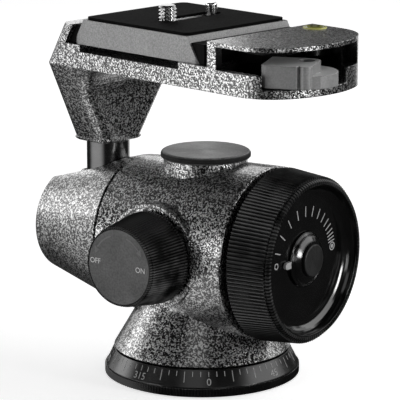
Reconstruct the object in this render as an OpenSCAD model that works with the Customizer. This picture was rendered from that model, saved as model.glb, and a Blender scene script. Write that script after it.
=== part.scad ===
// Ball head with an offset ball, a pan lock, a tilt lock and a dovetail platform.
// +Z is up. The origin is the centre of the underside of the base, on the pan axis.
// The barrel lies along X, with the tilt knob at +X and the ball at -X. The pan knob faces -Y.
// The platform has its own axes: u runs from the stem to the lever, v across the plate.

/* [Base] */
// Diameter of the base ring at its knurled band
base_d = 70; // [68:0.5:80]
// Height of the knurled band
base_band_h = 3.6; // [3:0.1:5]
// Height of the base ring with its graduated cone
base_h = 9.4; // [8.6:0.2:12]
// Diameter where the graduated cone meets the skirt
scale_d = 63.2; // [60:0.2:65]
// Number of knurl ridges round the base band
base_ridges = 200; // [120:4:240]
// Diameter of the tripod thread
socket_d = 9.525; // [6.35, 9.525]
// Depth of the tripod thread
socket_depth = 12; // [10:0.5:14]

/* [Body] */
// Height of the barrel axis
axis_h = 48; // [46:0.5:56]
// Diameter of the skirt at the height of the neck
neck_d = 47; // [45:0.5:50]
// Height at which the skirt has the neck diameter
neck_h = 23.6; // [22:0.2:26]
// Distance from the pan axis to the seam of the ball housing
barrel_rear = 27.2; // [26.6:0.2:30]
// Distance from the pan axis to the front end of the barrel
barrel_front = 30.2; // [29.6:0.2:34]
// Barrel diameter at the seam
barrel_rear_d = 55.8; // [54:0.2:58]
// Barrel diameter at the front end
barrel_front_d = 61.4; // [60:0.2:64]
// Swell of the barrel between its ends
barrel_swell = 0.4; // [0:0.05:0.8]
// Diameter of the top cap
cap_d = 32; // [28:0.5:36]
// Thickness of the rim of the top cap
cap_t = 2.5; // [2:0.1:4]
// Height of the underside of the top cap above the barrel axis
cap_rise = 30.9; // [30.5:0.1:34]
// Distance of the top cap from the pan axis
cap_x = 1.6; // [0:0.2:3]

/* [Pan lock] */
// Diameter of the pan spindle
spindle_d = 18; // [16:0.5:20]
// Diameter of the spindle's foot in the base
foot_flange_d = 32; // [28:0.5:36]
// Diameter of the brake disc
disc_d = 33.6; // [32:0.2:34]
// Thickness of the brake disc
disc_t = 4; // [3:0.2:5]
// Thickness of the floor of the body
web_t = 5; // [4:0.2:6]
// Diameter of the pan knob at its back
pan_knob_d = 32.8; // [30:0.2:34]
// Diameter of the pan knob at its face
pan_face_d = 28.5; // [26:0.2:30]
// Length of the pan knob
pan_knob_l = 18.2; // [16:0.2:22]
// Distance from the pan axis to the seat of the pan knob
pan_seat = 28.8; // [28:0.1:29.2]
// Number of ridges on the pan knob
pan_ridges = 96; // [60:2:120]
// Diameter of the pan screw and of the wedge that it drives
pan_screw_d = 7.9; // [7:0.1:9]
// Diameter of the brake shoe
shoe_d = 6.4; // [5:0.2:7]
// Distance of the brake shoe from the pan axis
shoe_y = 13; // [12.6:0.1:13.4]
// Travel of the wedge and the shoe
pan_travel = 0.4; // [0.2:0.05:0.6]

/* [Tilt lock] */
// Diameter of the tilt knob at its back
tilt_knob_d = 61.4; // [60:0.2:64]
// Diameter of the tilt knob at its rim
tilt_rim_d = 58.6; // [56:0.2:60]
// Length of the tilt knob
tilt_knob_l = 16.5; // [15.6:0.1:20]
// Number of ridges on the tilt knob
tilt_ridges = 140; // [100:4:200]
// Inner diameter of the rim, which the dial fills
dial_d = 53.4; // [50:0.2:54]
// Depth of the dial below the rim
dial_depth = 4.6; // [3.6:0.1:5]
// Diameter of the foot of the hub
hub_d = 19; // [17:0.2:20]
// Height of the hub above the dial
hub_h = 3; // [2.6:0.1:4]
// Diameter of the cap on the hub
hub_cap_d = 11.6; // [10:0.2:12]
// Diameter of the push rod
push_rod_d = 12; // [9:0.2:13]
// Diameter of the chamber behind the tilt knob
chamber_d = 39; // [37:0.2:40]
// Travel of the ball clamp
clamp_travel = 0.4; // [0.2:0.05:0.6]

/* [Ball housing] */
// Length of the ball housing from the seam to its end
housing_l = 35.6; // [34.4:0.2:40]
// Diameter of the end of the ball housing
housing_end_d = 37.8; // [37:0.2:44]
// Rounding of the end of the ball housing
housing_edge = 2; // [1:0.1:2.6]
// Distance of the ball from the pan axis
ball_offset = 42.6; // [42:0.1:43]
// Diameter of the ball
ball_d = 34; // [33:0.1:34.4]
// Diameter of the stem
stem_d = 15.7; // [13:0.1:16]
// Length of the stem from the ball's centre to the platform
stem_l = 32; // [31:0.2:40]
// Diameter of the stud on the stem
stud_d = 8; // [6:0.2:9]
// Length of the stud on the stem
stud_l = 15; // [10:0.5:16]
// Side clearance of the stem in its slot
slot_clear = 0.5; // [0.4:0.05:0.8]

/* [Platform] */
// Turn of the platform about the stem
platform_turn = -8; // [-20:0.5:20]
// Height of the platform's foot
foot_h = 30.7; // [28:0.1:36]
// Width of the foot at its lower end, along u
foot_u = 17.2; // [16:0.2:18]
// Width of the foot at its lower end, along v
foot_v = 20; // [17:0.2:24]
// Growth of the foot along u up to the arm
foot_flare = 3; // [0:0.1:4]
// Radius of the fillet between the foot and the arm
arm_fillet = 12; // [6:0.5:16]
// Thickness of the arm from its underside to its floor
arm_t = 8.3; // [8:0.1:11]
// Width of the arm
arm_w = 52; // [51:0.2:58]
// Height of the lip above the floor
lip_h = 7; // [5:0.1:7.6]
// Thickness of the lip
lip_t = 6.2; // [4:0.1:7]
// Thickness of the fixed jaw
fixed_jaw_t = 3.2; // [3:0.1:5]
// Depth of the relief under the plate
relief_t = 2.4; // [1:0.1:3]
// Distance from the plate to the post of the lever housing
jaw_space = 5.5; // [5.2:0.1:7]
// Length of the lever housing
lever_house_l = 32.7; // [32.2:0.1:34]
// Height of the lever housing above the floor
cover_rise = 8.8; // [8.2:0.1:10]
// Thickness of the cover of the lever housing
cover_t = 1.5; // [1.2:0.1:1.8]
// Wall of the lever housing
house_wall = 3; // [2.5:0.1:3.4]
// Width of the post beside the lever slot
post_w = 4; // [3:0.1:5]
// Radius of the nose of the lever housing
nose_r = 38; // [36:0.5:42]
// Radius of the corners beside the nose
nose_corner_r = 17; // [14:0.5:18]
// Diameter of the bullseye level
level_d = 7; // [6:0.1:8]

/* [Lever clamp] */
// Distance of the lever's pivot from the tip of the nose
pivot_in = 7.2; // [6.8:0.1:7.6]
// Offset of the lever's pivot along v
pivot_v = -4.5; // [-5:0.1:-4]
// Direction of the lever's grip
lever_dir = 30; // [26:0.5:34]
// Distance from the pivot to the face of the grip
grip_out = 13.2; // [12.8:0.1:14]
// Length of the grip
grip_l = 12.8; // [12:0.1:14]
// Thickness of the grip
grip_t = 3.5; // [3:0.1:4]
// Diameter of the lever's pivot pin
lever_pin_d = 5.4; // [4:0.1:6]
// Radius of the lever's cam with the jaw open
cam_r = 10.5; // [9.5:0.1:11]
// Travel of the jaw
jaw_travel = 2.8; // [1.5:0.1:3]
// Turn of the lever from closed to open
lever_turn = 120; // [90:5:120]

/* [Camera plate] */
// Distance from the stem's axis to the middle of the plate
plate_mid = 39.7; // [39:0.1:50]
// Length of the plate's underside, between the jaws
plate_l = 61.6; // [60:0.2:66]
// Height of the plate
plate_h = 9; // [8.8:0.1:10]
// Lean of the dovetail sides
dovetail = 30; // [25:0.5:35]
// Width of the plate
plate_w = 49.4; // [46:0.2:50]
// Thickness of the pad on the plate
pad_t = 1; // [0.6:0.1:1.6]
// Diameter of the camera screw
screw_d = 6.35; // [6:0.05:6.6]
// Height of the camera screw above the pad
screw_rise = 5.2; // [4.5:0.1:7]
// Offset of the slot from the middle of the plate
slot_mid = 2.2; // [0:0.1:3]
// Distance of the camera screw and of the video pin from the middle of the slot
screw_v = 10.8; // [10:0.1:11]
// Travel of the camera screw in its slot
screw_travel = 7; // [4:0.2:7]
// Diameter of the video pin
pin_d = 4.2; // [3.6:0.1:4.6]
// Height of the video pin above the pad
pin_rise = 3.8; // [3:0.1:5]

/* [Fits] */
// Gap between parts that turn past each other in the open
run_gap = 0.4; // [0.3:0.05:0.6]
// Width of the seam between the barrel and the ball housing
seam_gap = 0.6; // [0.4:0.05:0.8]
// Gap between the barrel and the tilt knob
knob_gap = 2.2; // [1.4:0.1:2.6]
// Radial clearance of a running fit
fit = 0.06; // [0.04:0.01:0.1]
// Chamfer on machined edges
edge = 0.5; // [0.3:0.05:0.7]
// Depth of the knurl ridges
knurl_depth = 0.45; // [0.3:0.05:0.6]

/* [Hidden] */
$fn = 96;
far = 200;
eps = 0.05;

// Base and body
skirt_z = base_h + run_gap;
cone_fall = (scale_d - neck_d) / 2 / (neck_h - base_h);
skirt_top_z = axis_h - barrel_rear_d / 4;
washer_d = [foot_flange_d - 2, scale_d - 12];
washer_sink = 0.8;
foot_flange_h = 4.8;
web_top_z = skirt_z + web_t;
disc_z = web_top_z + run_gap;
nut_h = 4.5;
neck_thread_d = 0.66 * spindle_d;
pan_room_h = 13;
pan_room_d = disc_d + 2;
cap_z = axis_h + cap_rise;
cap_plug_d = cap_d - 8;
cap_plug_h = 3;
cap_boss_d = cap_d - 2;

// Pan lock, measured from the pan axis along -Y
spotface_d = pan_knob_d + 2;
spotface_rim = 1.1;
pan_back = pan_seat + 2 * run_gap;
pan_face = pan_back + pan_knob_l;
pan_bush_wall = 3.5;
pan_bush_d = pan_screw_d + 2 * pan_bush_wall;
pan_bush_in = 22;
wedge_tip = 9.3;
wedge_bore_d = 4.2;
wedge_bore_in = 14.8;
shoe_top_z = axis_h - 3.5;
knob_end_t = 4;

// Tilt lock, measured from the pan axis along X
tilt_back = barrel_front + knob_gap;
tilt_rim = tilt_back + tilt_knob_l;
dial_x = tilt_rim - dial_depth;
dial_t = 1.6;
dial_fillet = dial_depth - 0.3;
post_d = 8;
sleeve_d = 18;
ring_d = 34;
ring_t = 2.4;
bearing_t = 5.8;
bearing_x = barrel_front - run_gap - bearing_t;
plate_t = 3;
plate_room = 5;
plate_x = bearing_x - plate_room - plate_t;
stack_t = 4;
flange_t = 2.5;
flange_clear = 3;
flange_x = plate_x - stack_t - flange_t;
chamber_x = flange_x - 1.5;
thrust_pin_d = 4;
thrust_pin_ring = 14;
thrust_pins_n = 3;
hub_top_x = dial_x + hub_h;

// Ball housing, measured from the pan axis along -X
ball_r = ball_d / 2;
seat_gap = fit;
seat_t = 1.8;
seat_from = 5;
seat_to = 12.6;
cup_gap = clamp_travel + fit;
housing_bore_d = ball_d + 0.6;
spigot_d = 42;
spigot_in = 17;
rear_room_in = spigot_in - 1;
snap_x = barrel_rear - 5.5;
snap_t = 1.4;
snap_reach = 1.2;
cup_back = snap_x - 1.5;
cup_reach = ball_offset - 9;
housing_end = barrel_rear + housing_l;
slot_r = stem_d / 2 + slot_clear;

// Platform heights
foot_z = axis_h + stem_l;
arm_z = foot_z + foot_h;
floor_z = arm_z + arm_t;
cover_z = floor_z + cover_rise;
roof_z = cover_z - cover_t;
house_floor_z = arm_z + 2.8;
sill_z = floor_z - 0.5;
plate_top_z = floor_z + plate_h;
pad_top_z = plate_top_z + pad_t;

// Platform places along u
lean = tan(dovetail);
plate_left = plate_mid - plate_l / 2;
plate_right = plate_mid + plate_l / 2;
lip_in = plate_left - fixed_jaw_t;
post_u = plate_right + jaw_space;
tip_u = post_u + lever_house_l;
nose_u = tip_u - nose_r;
corner_v = arm_w / 2 - nose_corner_r;
corner_u = nose_u + sqrt(pow(nose_r - nose_corner_r, 2) - pow(corner_v, 2));
room_u = post_u + house_wall;
relief_in = 4.6;
lip_round = 4;
level_u = post_u + 6.5;
level_v = arm_w / 2 - 5.8;
window_v = arm_w / 2 - 8.5;

// Lever and jaw
pivot_u = tip_u - pivot_in;
lever_top_z = floor_z + 2.8;
lever_low_z = sill_z + 0.1;
grip_z = house_floor_z + 0.7;
cam_z = house_floor_z + 0.3;
cam_top_z = sill_z - 0.3;
grip_end = 0.6;
groove_in = 1.8;
column_r = 2.1;
column_u = column_r;
lug_r = 4.6;
pocket_r = cam_r + jaw_travel + 0.9;
sweep_r = norm([grip_l, grip_out]) + 0.7;
sweep_from = lever_dir - 90 - atan2(grip_l, grip_out - grip_t) - 3;
sweep_to = lever_dir - 90 + lever_turn + 3;
jaw_l = plate_w - 1.4;
jaw_top_z = roof_z - run_gap;
jaw_back_u = post_u - jaw_travel - run_gap;
jaw_gap = 0.1;
leg_u = room_u + 2.5;
leg_t = 4;
leg_w = 10;
nose_end_u = pivot_u - cam_r - jaw_travel - 0.08;
spring_d = 4.4;
spring_wire = 0.7;
spring_turns = 5;
spring_sink = 3.4;
spring_z = (house_floor_z + floor_z) / 2;

// Camera plate
plate_round = 2.5;
slot_half = screw_d / 2 + 0.25;
head_d = 15;
head_h = 3.2;
head_gap = 0.3;
screw_washer_t = 0.7;
head_room_h = head_h + screw_washer_t + head_gap + 0.1;
pin_bush_d = 2 * slot_half - 0.1;
pin_collar_d = pin_bush_d + 2;
pin_collar_t = 2;
pin_room_h = 4.5;
pin_flange_d = pin_d + 1.4;
pin_travel = 2.5;

// Turns a profile of [radius, x] points about the barrel axis
module turned_x(profile) {
    translate([0, 0, axis_h])
        rotate([0, 90, 0])
            rotate_extrude()
                polygon(profile);
}

// Turns a profile of [radius, distance towards -Y] points about the pan lock's axis
module turned_front(profile) {
    translate([0, 0, axis_h])
        rotate([90, 0, 0])
            rotate_extrude()
                polygon(profile);
}

// Turns a profile of [radius, z] points about the vertical through [x, y]
module turned_z(profile, at = [0, 0]) {
    translate([at[0], at[1], 0])
        rotate_extrude()
            polygon(profile);
}

// Rod along X from x0 to x1 on the barrel axis
module rod_x(d, x0, x1) {
    translate([x0, 0, axis_h])
        rotate([0, 90, 0])
            cylinder(d = d, h = x1 - x0);
}

// Rod along -Y from y0 to y1, as distances from the pan axis, at the barrel's height
module rod_front(d, y0, y1) {
    translate([0, 0, axis_h])
        rotate([90, 0, 0])
            translate([0, 0, y0])
                cylinder(d = d, h = y1 - y0);
}

// Star outline of a knurled rim
module knurl(r, ridges) {
    polygon([
        for (i = [0 : 2 * ridges - 1])
            let (q = i % 2 == 0 ? r : r - knurl_depth, a = 180 * i / ridges)
                [q * cos(a), q * sin(a)]
    ]);
}

// Places a part of the platform at the stem's axis
module on_platform() {
    translate([-ball_offset, 0, 0])
        rotate([0, 0, platform_turn])
            children();
}

// Extrudes a profile of [u, z] points across the platform
module across(profile, w) {
    rotate([90, 0, 0])
        linear_extrude(w, center = true)
            polygon(profile);
}

// Rectangle from [u0, v0] to [u1, v1] with round corners
module round_rect(u0, v0, u1, v1, r) {
    translate([u0 + r, v0])
        square([u1 - u0 - 2 * r, v1 - v0]);
    translate([u0, v0 + r])
        square([u1 - u0, v1 - v0 - 2 * r]);
    for (u = [u0 + r, u1 - r], v = [v0 + r, v1 - r])
        translate([u, v])
            circle(r);
}

// Points of an arc in the plane
function arc(c, r, a0, a1, n) = [for (i = [0 : n]) c + r * [cos(a0 + (a1 - a0) * i / n), sin(a0 + (a1 - a0) * i / n)]];

module base_ring() {
    core = base_d / 2 - knurl_depth - 0.4;
    color("#1d1d1f")
        difference() {
            union() {
                turned_z([
                    [0, 0],
                    [core - edge, 0],
                    [core, edge + 0.2],
                    [core, base_band_h],
                    [base_d / 2 - edge, base_band_h],
                    [scale_d / 2, base_h],
                    [0, base_h]
                ]);
                translate([0, 0, edge])
                    linear_extrude(base_band_h - 0.3 - edge)
                        knurl(base_d / 2, base_ridges);
            }
            turned_z([
                [0, -1],
                [foot_flange_d / 2 + fit, -1],
                [foot_flange_d / 2 + fit, foot_flange_h],
                [spindle_d / 2 + fit, foot_flange_h],
                [spindle_d / 2 + fit, base_h + 1],
                [0, base_h + 1]
            ]);
            turned_z([
                [washer_d[0] / 2 - fit, base_h - washer_sink],
                [washer_d[1] / 2 + fit, base_h - washer_sink],
                [washer_d[1] / 2 + fit, base_h + 1],
                [washer_d[0] / 2 - fit, base_h + 1]
            ]);
        }
}

module pan_spindle() {
    color("#8f9296")
        turned_z([
            [socket_d / 2, 0],
            [foot_flange_d / 2 - edge, 0],
            [foot_flange_d / 2, edge],
            [foot_flange_d / 2, foot_flange_h],
            [spindle_d / 2, foot_flange_h],
            [spindle_d / 2, disc_z],
            [neck_thread_d / 2, disc_z],
            [neck_thread_d / 2, disc_z + disc_t + nut_h + 1],
            [0, disc_z + disc_t + nut_h + 1],
            [0, socket_depth],
            [socket_d / 2, socket_depth]
        ]);
}

module pan_washer() {
    color("#d8d4c4")
        turned_z([
            [washer_d[0] / 2, base_h - washer_sink],
            [washer_d[1] / 2, base_h - washer_sink],
            [washer_d[1] / 2, skirt_z],
            [washer_d[0] / 2, skirt_z]
        ]);
}

module pan_disc() {
    color("#a9acb0")
        turned_z([
            [neck_thread_d / 2 + fit, disc_z],
            [disc_d / 2, disc_z],
            [disc_d / 2, disc_z + disc_t],
            [neck_thread_d / 2 + fit, disc_z + disc_t]
        ]);
}

module pan_nut() {
    color("#9a9da1")
        translate([0, 0, disc_z + disc_t])
            difference() {
                cylinder(d = neck_thread_d + 7, h = nut_h, $fn = 6);
                translate([0, 0, -1])
                    cylinder(d = neck_thread_d + 2 * fit, h = nut_h + 2);
            }
}

// Outer profile of the barrel, from the seam to the front end
function barrel_r(s) = (barrel_rear_d + (barrel_front_d - barrel_rear_d) * s) / 2 + 4 * barrel_swell * s * (1 - s);
barrel_steps = 8;

module barrel() {
    turned_x(concat(
        [[0, -barrel_rear], [barrel_r(0) - edge, -barrel_rear]],
        [for (i = [0 : barrel_steps])
            let (s = i / barrel_steps)
                [barrel_r(s), -barrel_rear + edge + s * (barrel_rear + barrel_front - 2 * edge)]],
        [[barrel_r(1) - edge, barrel_front], [0, barrel_front]]
    ));
}

module body_casting() {
    color("#77797b")
        difference() {
            union() {
                turned_z([
                    [0, skirt_z],
                    [scale_d / 2 - edge, skirt_z],
                    [scale_d / 2, skirt_z + edge],
                    [scale_d / 2 - cone_fall * (skirt_top_z - skirt_z), skirt_top_z],
                    [0, skirt_top_z]
                ]);
                barrel();
                translate([cap_x, 0, axis_h])
                    cylinder(d = cap_boss_d, h = cap_rise);
                rod_front(spotface_d + 2 * spotface_rim, 0, pan_seat + run_gap);
            }
            rod_front(spotface_d, pan_seat, far);
            translate([0, 0, skirt_z - 1])
                cylinder(d = spindle_d + 2 * fit, h = web_t + 2);
            translate([0, 0, web_top_z])
                cylinder(d = pan_room_d, h = pan_room_h);
            translate([cap_x, 0, cap_z - cap_plug_h - run_gap])
                cylinder(d = cap_plug_d + 2 * fit, h = cap_plug_h + 1);
            rod_front(pan_bush_d + 2 * fit, pan_bush_in, far);
            rod_front(pan_screw_d + 2 * fit, wedge_tip - pan_travel - fit, pan_seat);
            translate([0, -shoe_y, web_top_z])
                cylinder(d = shoe_d + 2 * fit, h = axis_h - web_top_z);
            rod_x(chamber_d, chamber_x, far);
            rod_x(push_rod_d + 2 * run_gap, -barrel_rear, chamber_x + 1);
            rod_x(spigot_d + 2 * fit, -far, -rear_room_in);
            rod_x(spigot_d + 2 * snap_reach + 2 * fit, -snap_x - snap_t / 2 - fit, -snap_x + snap_t / 2 + fit);
        }
}

module top_cap() {
    color("#4a4b4d")
        turned_z(concat(
            [[0, cap_z - cap_plug_h], [cap_plug_d / 2, cap_z - cap_plug_h], [cap_plug_d / 2, cap_z]],
            [[cap_d / 2 - edge, cap_z], [cap_d / 2, cap_z + edge]],
            arc([cap_d / 2 - 1.2, cap_z + cap_t - 1.2], 1.2, 0, 90, 6),
            [[0, cap_z + cap_t]]
        ), [cap_x, 0]);
}

module pan_bush() {
    color("#b08d57")
        turned_front([
            [pan_screw_d / 2 + fit, pan_bush_in],
            [pan_bush_d / 2, pan_bush_in],
            [pan_bush_d / 2, pan_seat],
            [pan_screw_d / 2 + fit, pan_seat]
        ]);
}

module pan_knob() {
    rim = pan_knob_l - 1.2;
    color("#18181a")
        difference() {
            union() {
                turned_front([
                    [0, pan_back],
                    [pan_knob_d / 2 - edge, pan_back],
                    [pan_knob_d / 2, pan_back + edge],
                    [pan_knob_d / 2, pan_back + 1.4],
                    [pan_knob_d / 2 - knurl_depth, pan_back + 1.8],
                    [pan_face_d / 2 - knurl_depth, pan_back + rim],
                    [pan_face_d / 2 - edge, pan_face],
                    [0, pan_face]
                ]);
                translate([0, 0, axis_h])
                    rotate([90, 0, 0])
                        translate([0, 0, pan_back + 2])
                            linear_extrude(rim - 2, scale = pan_face_d / pan_knob_d)
                                knurl(pan_knob_d / 2, pan_ridges);
            }
            rod_front(pan_face_d - 2 * edge - 0.6, pan_face - 1.2, far);
            rod_front(pan_screw_d + 2 * fit, 0, pan_face - knob_end_t);
        }
}

module pan_knob_face() {
    r = pan_face_d / 2 - edge - 0.3 - fit;
    color("#3c3d40")
        turned_front([
            [0, pan_face - 1.2],
            [r, pan_face - 1.2],
            [r, pan_face - 0.3],
            [r - 0.3, pan_face],
            [0, pan_face]
        ]);
}

module pan_screw() {
    color("#9a9da1")
        turned_front([
            [0, wedge_bore_in + 0.2],
            [wedge_bore_d / 2 - fit, wedge_bore_in + 0.2],
            [wedge_bore_d / 2 - fit, pan_bush_in + pan_travel],
            [pan_screw_d / 2, pan_bush_in + pan_travel],
            [pan_screw_d / 2, pan_face - knob_end_t],
            [0, pan_face - knob_end_t]
        ]);
}

// Everything on one side of the slanted plane between wedge and shoe
module wedge_side(up) {
    translate([0, -shoe_y, shoe_top_z])
        rotate([45, 0, 0])
            translate([0, 0, up ? far / 2 : -far / 2])
                cube(far, center = true);
}

module pan_plunger() {
    color("#b08d57")
        difference() {
            rod_front(pan_screw_d, wedge_tip, pan_bush_in);
            rod_front(wedge_bore_d, wedge_bore_in, pan_bush_in + 1);
            translate([0, 0, fit])
                wedge_side(false);
        }
}

module pan_shoe() {
    shoe_z = disc_z + disc_t + pan_travel + fit;
    color("#c9a96a")
        difference() {
            translate([0, -shoe_y, shoe_z])
                cylinder(d = shoe_d, h = axis_h - shoe_z);
            wedge_side(true);
        }
}

module tilt_bearing() {
    color("#8f9296")
        difference() {
            union() {
                rod_x(chamber_d - 2 * fit, bearing_x, bearing_x + bearing_t);
                rod_x(post_d, bearing_x, hub_top_x);
            }
            for (i = [0 : thrust_pins_n - 1])
                thrust_pin_at(i, thrust_pin_d + 2 * run_gap, bearing_x - 1, bearing_x + bearing_t + 1);
        }
}

// One rod of the ring of thrust pins
module thrust_pin_at(i, d, x0, x1) {
    translate([0, 0, axis_h])
        rotate([360 * i / thrust_pins_n, 0, 0])
            translate([x0, 0, thrust_pin_ring])
                rotate([0, 90, 0])
                    cylinder(d = d, h = x1 - x0);
}

module tilt_knob() {
    rim = tilt_knob_l - 1.6;
    root = tilt_rim_d / 2 - knurl_depth - 0.4;
    color("#161617")
        difference() {
            union() {
                rod_x(tilt_knob_d - 4.8, tilt_back - 1, tilt_back + 2);
                turned_x([
                    [0, tilt_back],
                    [tilt_knob_d / 2 - 1.2, tilt_back],
                    [tilt_knob_d / 2 - 0.9, tilt_back + edge + 1],
                    [0, tilt_back + edge + 1]
                ]);
                translate([tilt_back + edge, 0, axis_h])
                    rotate([0, 90, 0])
                        linear_extrude(rim - edge, scale = tilt_rim_d / tilt_knob_d)
                            knurl(tilt_knob_d / 2, tilt_ridges);
                turned_x([
                    [0, tilt_back + rim - 1],
                    [root, tilt_back + rim - 1],
                    [root, tilt_rim - 0.9],
                    [root - 0.7, tilt_rim],
                    [0, tilt_rim]
                ]);
            }
            rod_x(dial_d, dial_x - dial_t, far);
            rod_x(post_d + 2 * run_gap, 0, far);
            turned_x([
                [sleeve_d / 2, 0],
                [ring_d / 2 + 3, 0],
                [ring_d / 2 + 3, tilt_back + ring_t + 0.6],
                [sleeve_d / 2, tilt_back + ring_t + 0.6]
            ]);
        }
}

module tilt_dial() {
    r = dial_d / 2 - fit;
    color("#0c0c0d")
        turned_x(concat(
            [[hub_d / 2 + run_gap, dial_x - dial_t], [r, dial_x - dial_t], [r, dial_x + dial_fillet]],
            [[r - 0.4, dial_x + dial_fillet]],
            arc([r - 0.4 - dial_fillet, dial_x + dial_fillet], dial_fillet, 0, -90, 8),
            [[hub_d / 2 + run_gap, dial_x]]
        ));
}

module tilt_hub() {
    color("#101011")
        turned_x(concat(
            [[post_d / 2 + fit, dial_x - dial_t + run_gap], [hub_d / 2, dial_x - dial_t + run_gap]],
            [[hub_d / 2, dial_x + 0.5]],
            arc([hub_d / 2 + 0.9, hub_top_x - 0.2], hub_h - 0.9, 250, 200, 5),
            [[hub_cap_d / 2 + 0.6, hub_top_x], [post_d / 2 + fit, hub_top_x]]
        ));
}

module hub_cap() {
    cap = 1.2;
    color("#2a2b2d")
        turned_x(concat(
            [[0, hub_top_x], [hub_cap_d / 2, hub_top_x]],
            arc([hub_cap_d / 2 - 0.6, hub_top_x + cap - 0.6], 0.6, 0, 90, 5),
            [[0, hub_top_x + cap]]
        ));
}

module tilt_pointer() {
    nub = 2.4;
    reach = hub_d / 2 + 2.6;
    color("#c8c9ca")
        translate([dial_x + run_gap, 0, axis_h])
            rotate([0, 90, 0])
                difference() {
                    linear_extrude(1)
                        union() {
                            translate([-nub / 2, -reach])
                                square([nub, reach]);
                            translate([0, -reach])
                                circle(d = nub);
                        }
                    translate([0, 0, -1])
                        cylinder(d = hub_d + 1, h = 3);
                }
}

module housing_ring() {
    r0 = spigot_d / 2 - snap_reach + fit;
    r1 = spigot_d / 2 + snap_reach;
    color("#a9acb0")
        turned_x([
            [r0, -snap_x - snap_t / 2],
            [r1, -snap_x - snap_t / 2],
            [r1, -snap_x + snap_t / 2],
            [r0, -snap_x + snap_t / 2]
        ]);
}

module thrust_ring() {
    color("#b08d57")
        turned_x([
            [sleeve_d / 2 + fit, tilt_back],
            [ring_d / 2, tilt_back],
            [ring_d / 2, tilt_back + ring_t],
            [sleeve_d / 2 + fit, tilt_back + ring_t]
        ]);
}

module thrust_pins() {
    color("#9a9da1")
        for (i = [0 : thrust_pins_n - 1])
            thrust_pin_at(i, thrust_pin_d, plate_x + plate_t, tilt_back);
}

module pressure_plate() {
    color("#2b2c2e")
        turned_x([
            [push_rod_d / 2 - 2, plate_x],
            [chamber_d / 2 - 1.5, plate_x],
            [chamber_d / 2 - 1.5, plate_x + plate_t],
            [push_rod_d / 2 - 2, plate_x + plate_t]
        ]);
}

// Two disc springs, set rim to rim
module spring_stack() {
    r0 = push_rod_d / 2 + 1;
    r1 = chamber_d / 2 - 3;
    x0 = plate_x - stack_t;
    t = 1.1;
    color("#b9bcc0") {
        turned_x([[r0, x0], [r1, x0 + stack_t / 2 - t], [r1, x0 + stack_t / 2], [r0, x0 + t]]);
        turned_x([
            [r0, x0 + stack_t],
            [r1, x0 + stack_t / 2 + t],
            [r1, x0 + stack_t / 2],
            [r0, x0 + stack_t - t]
        ]);
    }
}

module push_rod() {
    color("#2b2c2e") {
        rod_x(push_rod_d, -cup_back, flange_x);
        rod_x(chamber_d - 2 * flange_clear, flange_x, flange_x + flange_t);
    }
}

module clamp_cup() {
    color("#d8d4c4")
        difference() {
            rod_x(housing_bore_d - 2 * run_gap, -cup_reach, -cup_back);
            translate([-ball_offset, 0, axis_h])
                sphere(r = ball_r + cup_gap);
        }
}

// Room that the stem needs in the housing between upright and level
module stem_slot() {
    translate([-ball_offset, 0, axis_h]) {
        cylinder(r = slot_r, h = far);
        rotate([0, -90, 0])
            cylinder(r = slot_r, h = far);
        translate([-far, -slot_r, 0])
            cube([far, 2 * slot_r, far]);
    }
}

// Groove for the seat liner, grown by a clearance
module seat_zone(grow) {
    intersection() {
        translate([-ball_offset, 0, axis_h])
            sphere(r = ball_r + seat_t + grow);
        rod_x(2 * ball_d, -ball_offset - seat_to - grow, -ball_offset - seat_from + grow);
    }
}

module ball_housing() {
    end_r = housing_end_d / 2;
    color("#77797b")
        difference() {
            union() {
                turned_x(concat(
                    [[0, -housing_end]],
                    arc([end_r - housing_edge, -housing_end + housing_edge], housing_edge, -90, -14, 6),
                    [
                        [barrel_rear_d / 2 - edge / 2, -barrel_rear - seam_gap - edge / 2],
                        [barrel_rear_d / 2 - edge, -barrel_rear - seam_gap],
                        [0, -barrel_rear - seam_gap]
                    ]
                ));
                rod_x(spigot_d, -barrel_rear - seam_gap - 1, -spigot_in);
            }
            rod_x(housing_bore_d, -ball_offset, 0);
            translate([-ball_offset, 0, axis_h])
                sphere(d = housing_bore_d);
            seat_zone(fit);
            turned_x([
                [spigot_d / 2 - snap_reach, -snap_x - snap_t / 2 - fit],
                [spigot_d, -snap_x - snap_t / 2 - fit],
                [spigot_d, -snap_x + snap_t / 2 + fit],
                [spigot_d / 2 - snap_reach, -snap_x + snap_t / 2 + fit]
            ]);
            stem_slot();
        }
}

module ball_seat() {
    color("#e4e0d2")
        difference() {
            seat_zone(0);
            translate([-ball_offset, 0, axis_h])
                sphere(r = ball_r + seat_gap);
            stem_slot();
        }
}

module ball_stem() {
    color("#c4c6c9")
        translate([-ball_offset, 0, axis_h]) {
            sphere(r = ball_r);
            cylinder(d = stem_d, h = stem_l);
            translate([0, 0, stem_l])
                cylinder(d = stud_d, h = stud_l);
        }
}

// Outline of the arm and the lever housing, drawn in by an inset
module arm_outline(u0, inset) {
    w = arm_w / 2 - inset;
    corner = nose_corner_r - inset;
    turn = atan2(corner_v, corner_u - nose_u);
    inner = turn * (1 - 2 / nose_steps);
    polygon(concat(
        [[u0, -w]],
        arc([corner_u, -corner_v], corner, -90, -turn, corner_steps),
        arc([nose_u, 0], nose_r - inset, -inner, inner, nose_steps - 2),
        arc([corner_u, corner_v], corner, turn, 90, corner_steps),
        [[u0, w]]
    ));
}
nose_steps = 32;
corner_steps = 12;

// Closed ring of points round a rectangle with round corners, at one height
function round_ring(u0, u1, v, r, z) = [
    for (c = [[u1 - r, v - r, 0], [u0 + r, v - r, 90], [u0 + r, r - v, 180], [u1 - r, r - v, 270]])
        for (p = arc([c[0], c[1]], r, c[2], c[2] + 90, ring_steps))
            [p[0], p[1], z]
];
ring_steps = 6;

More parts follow.
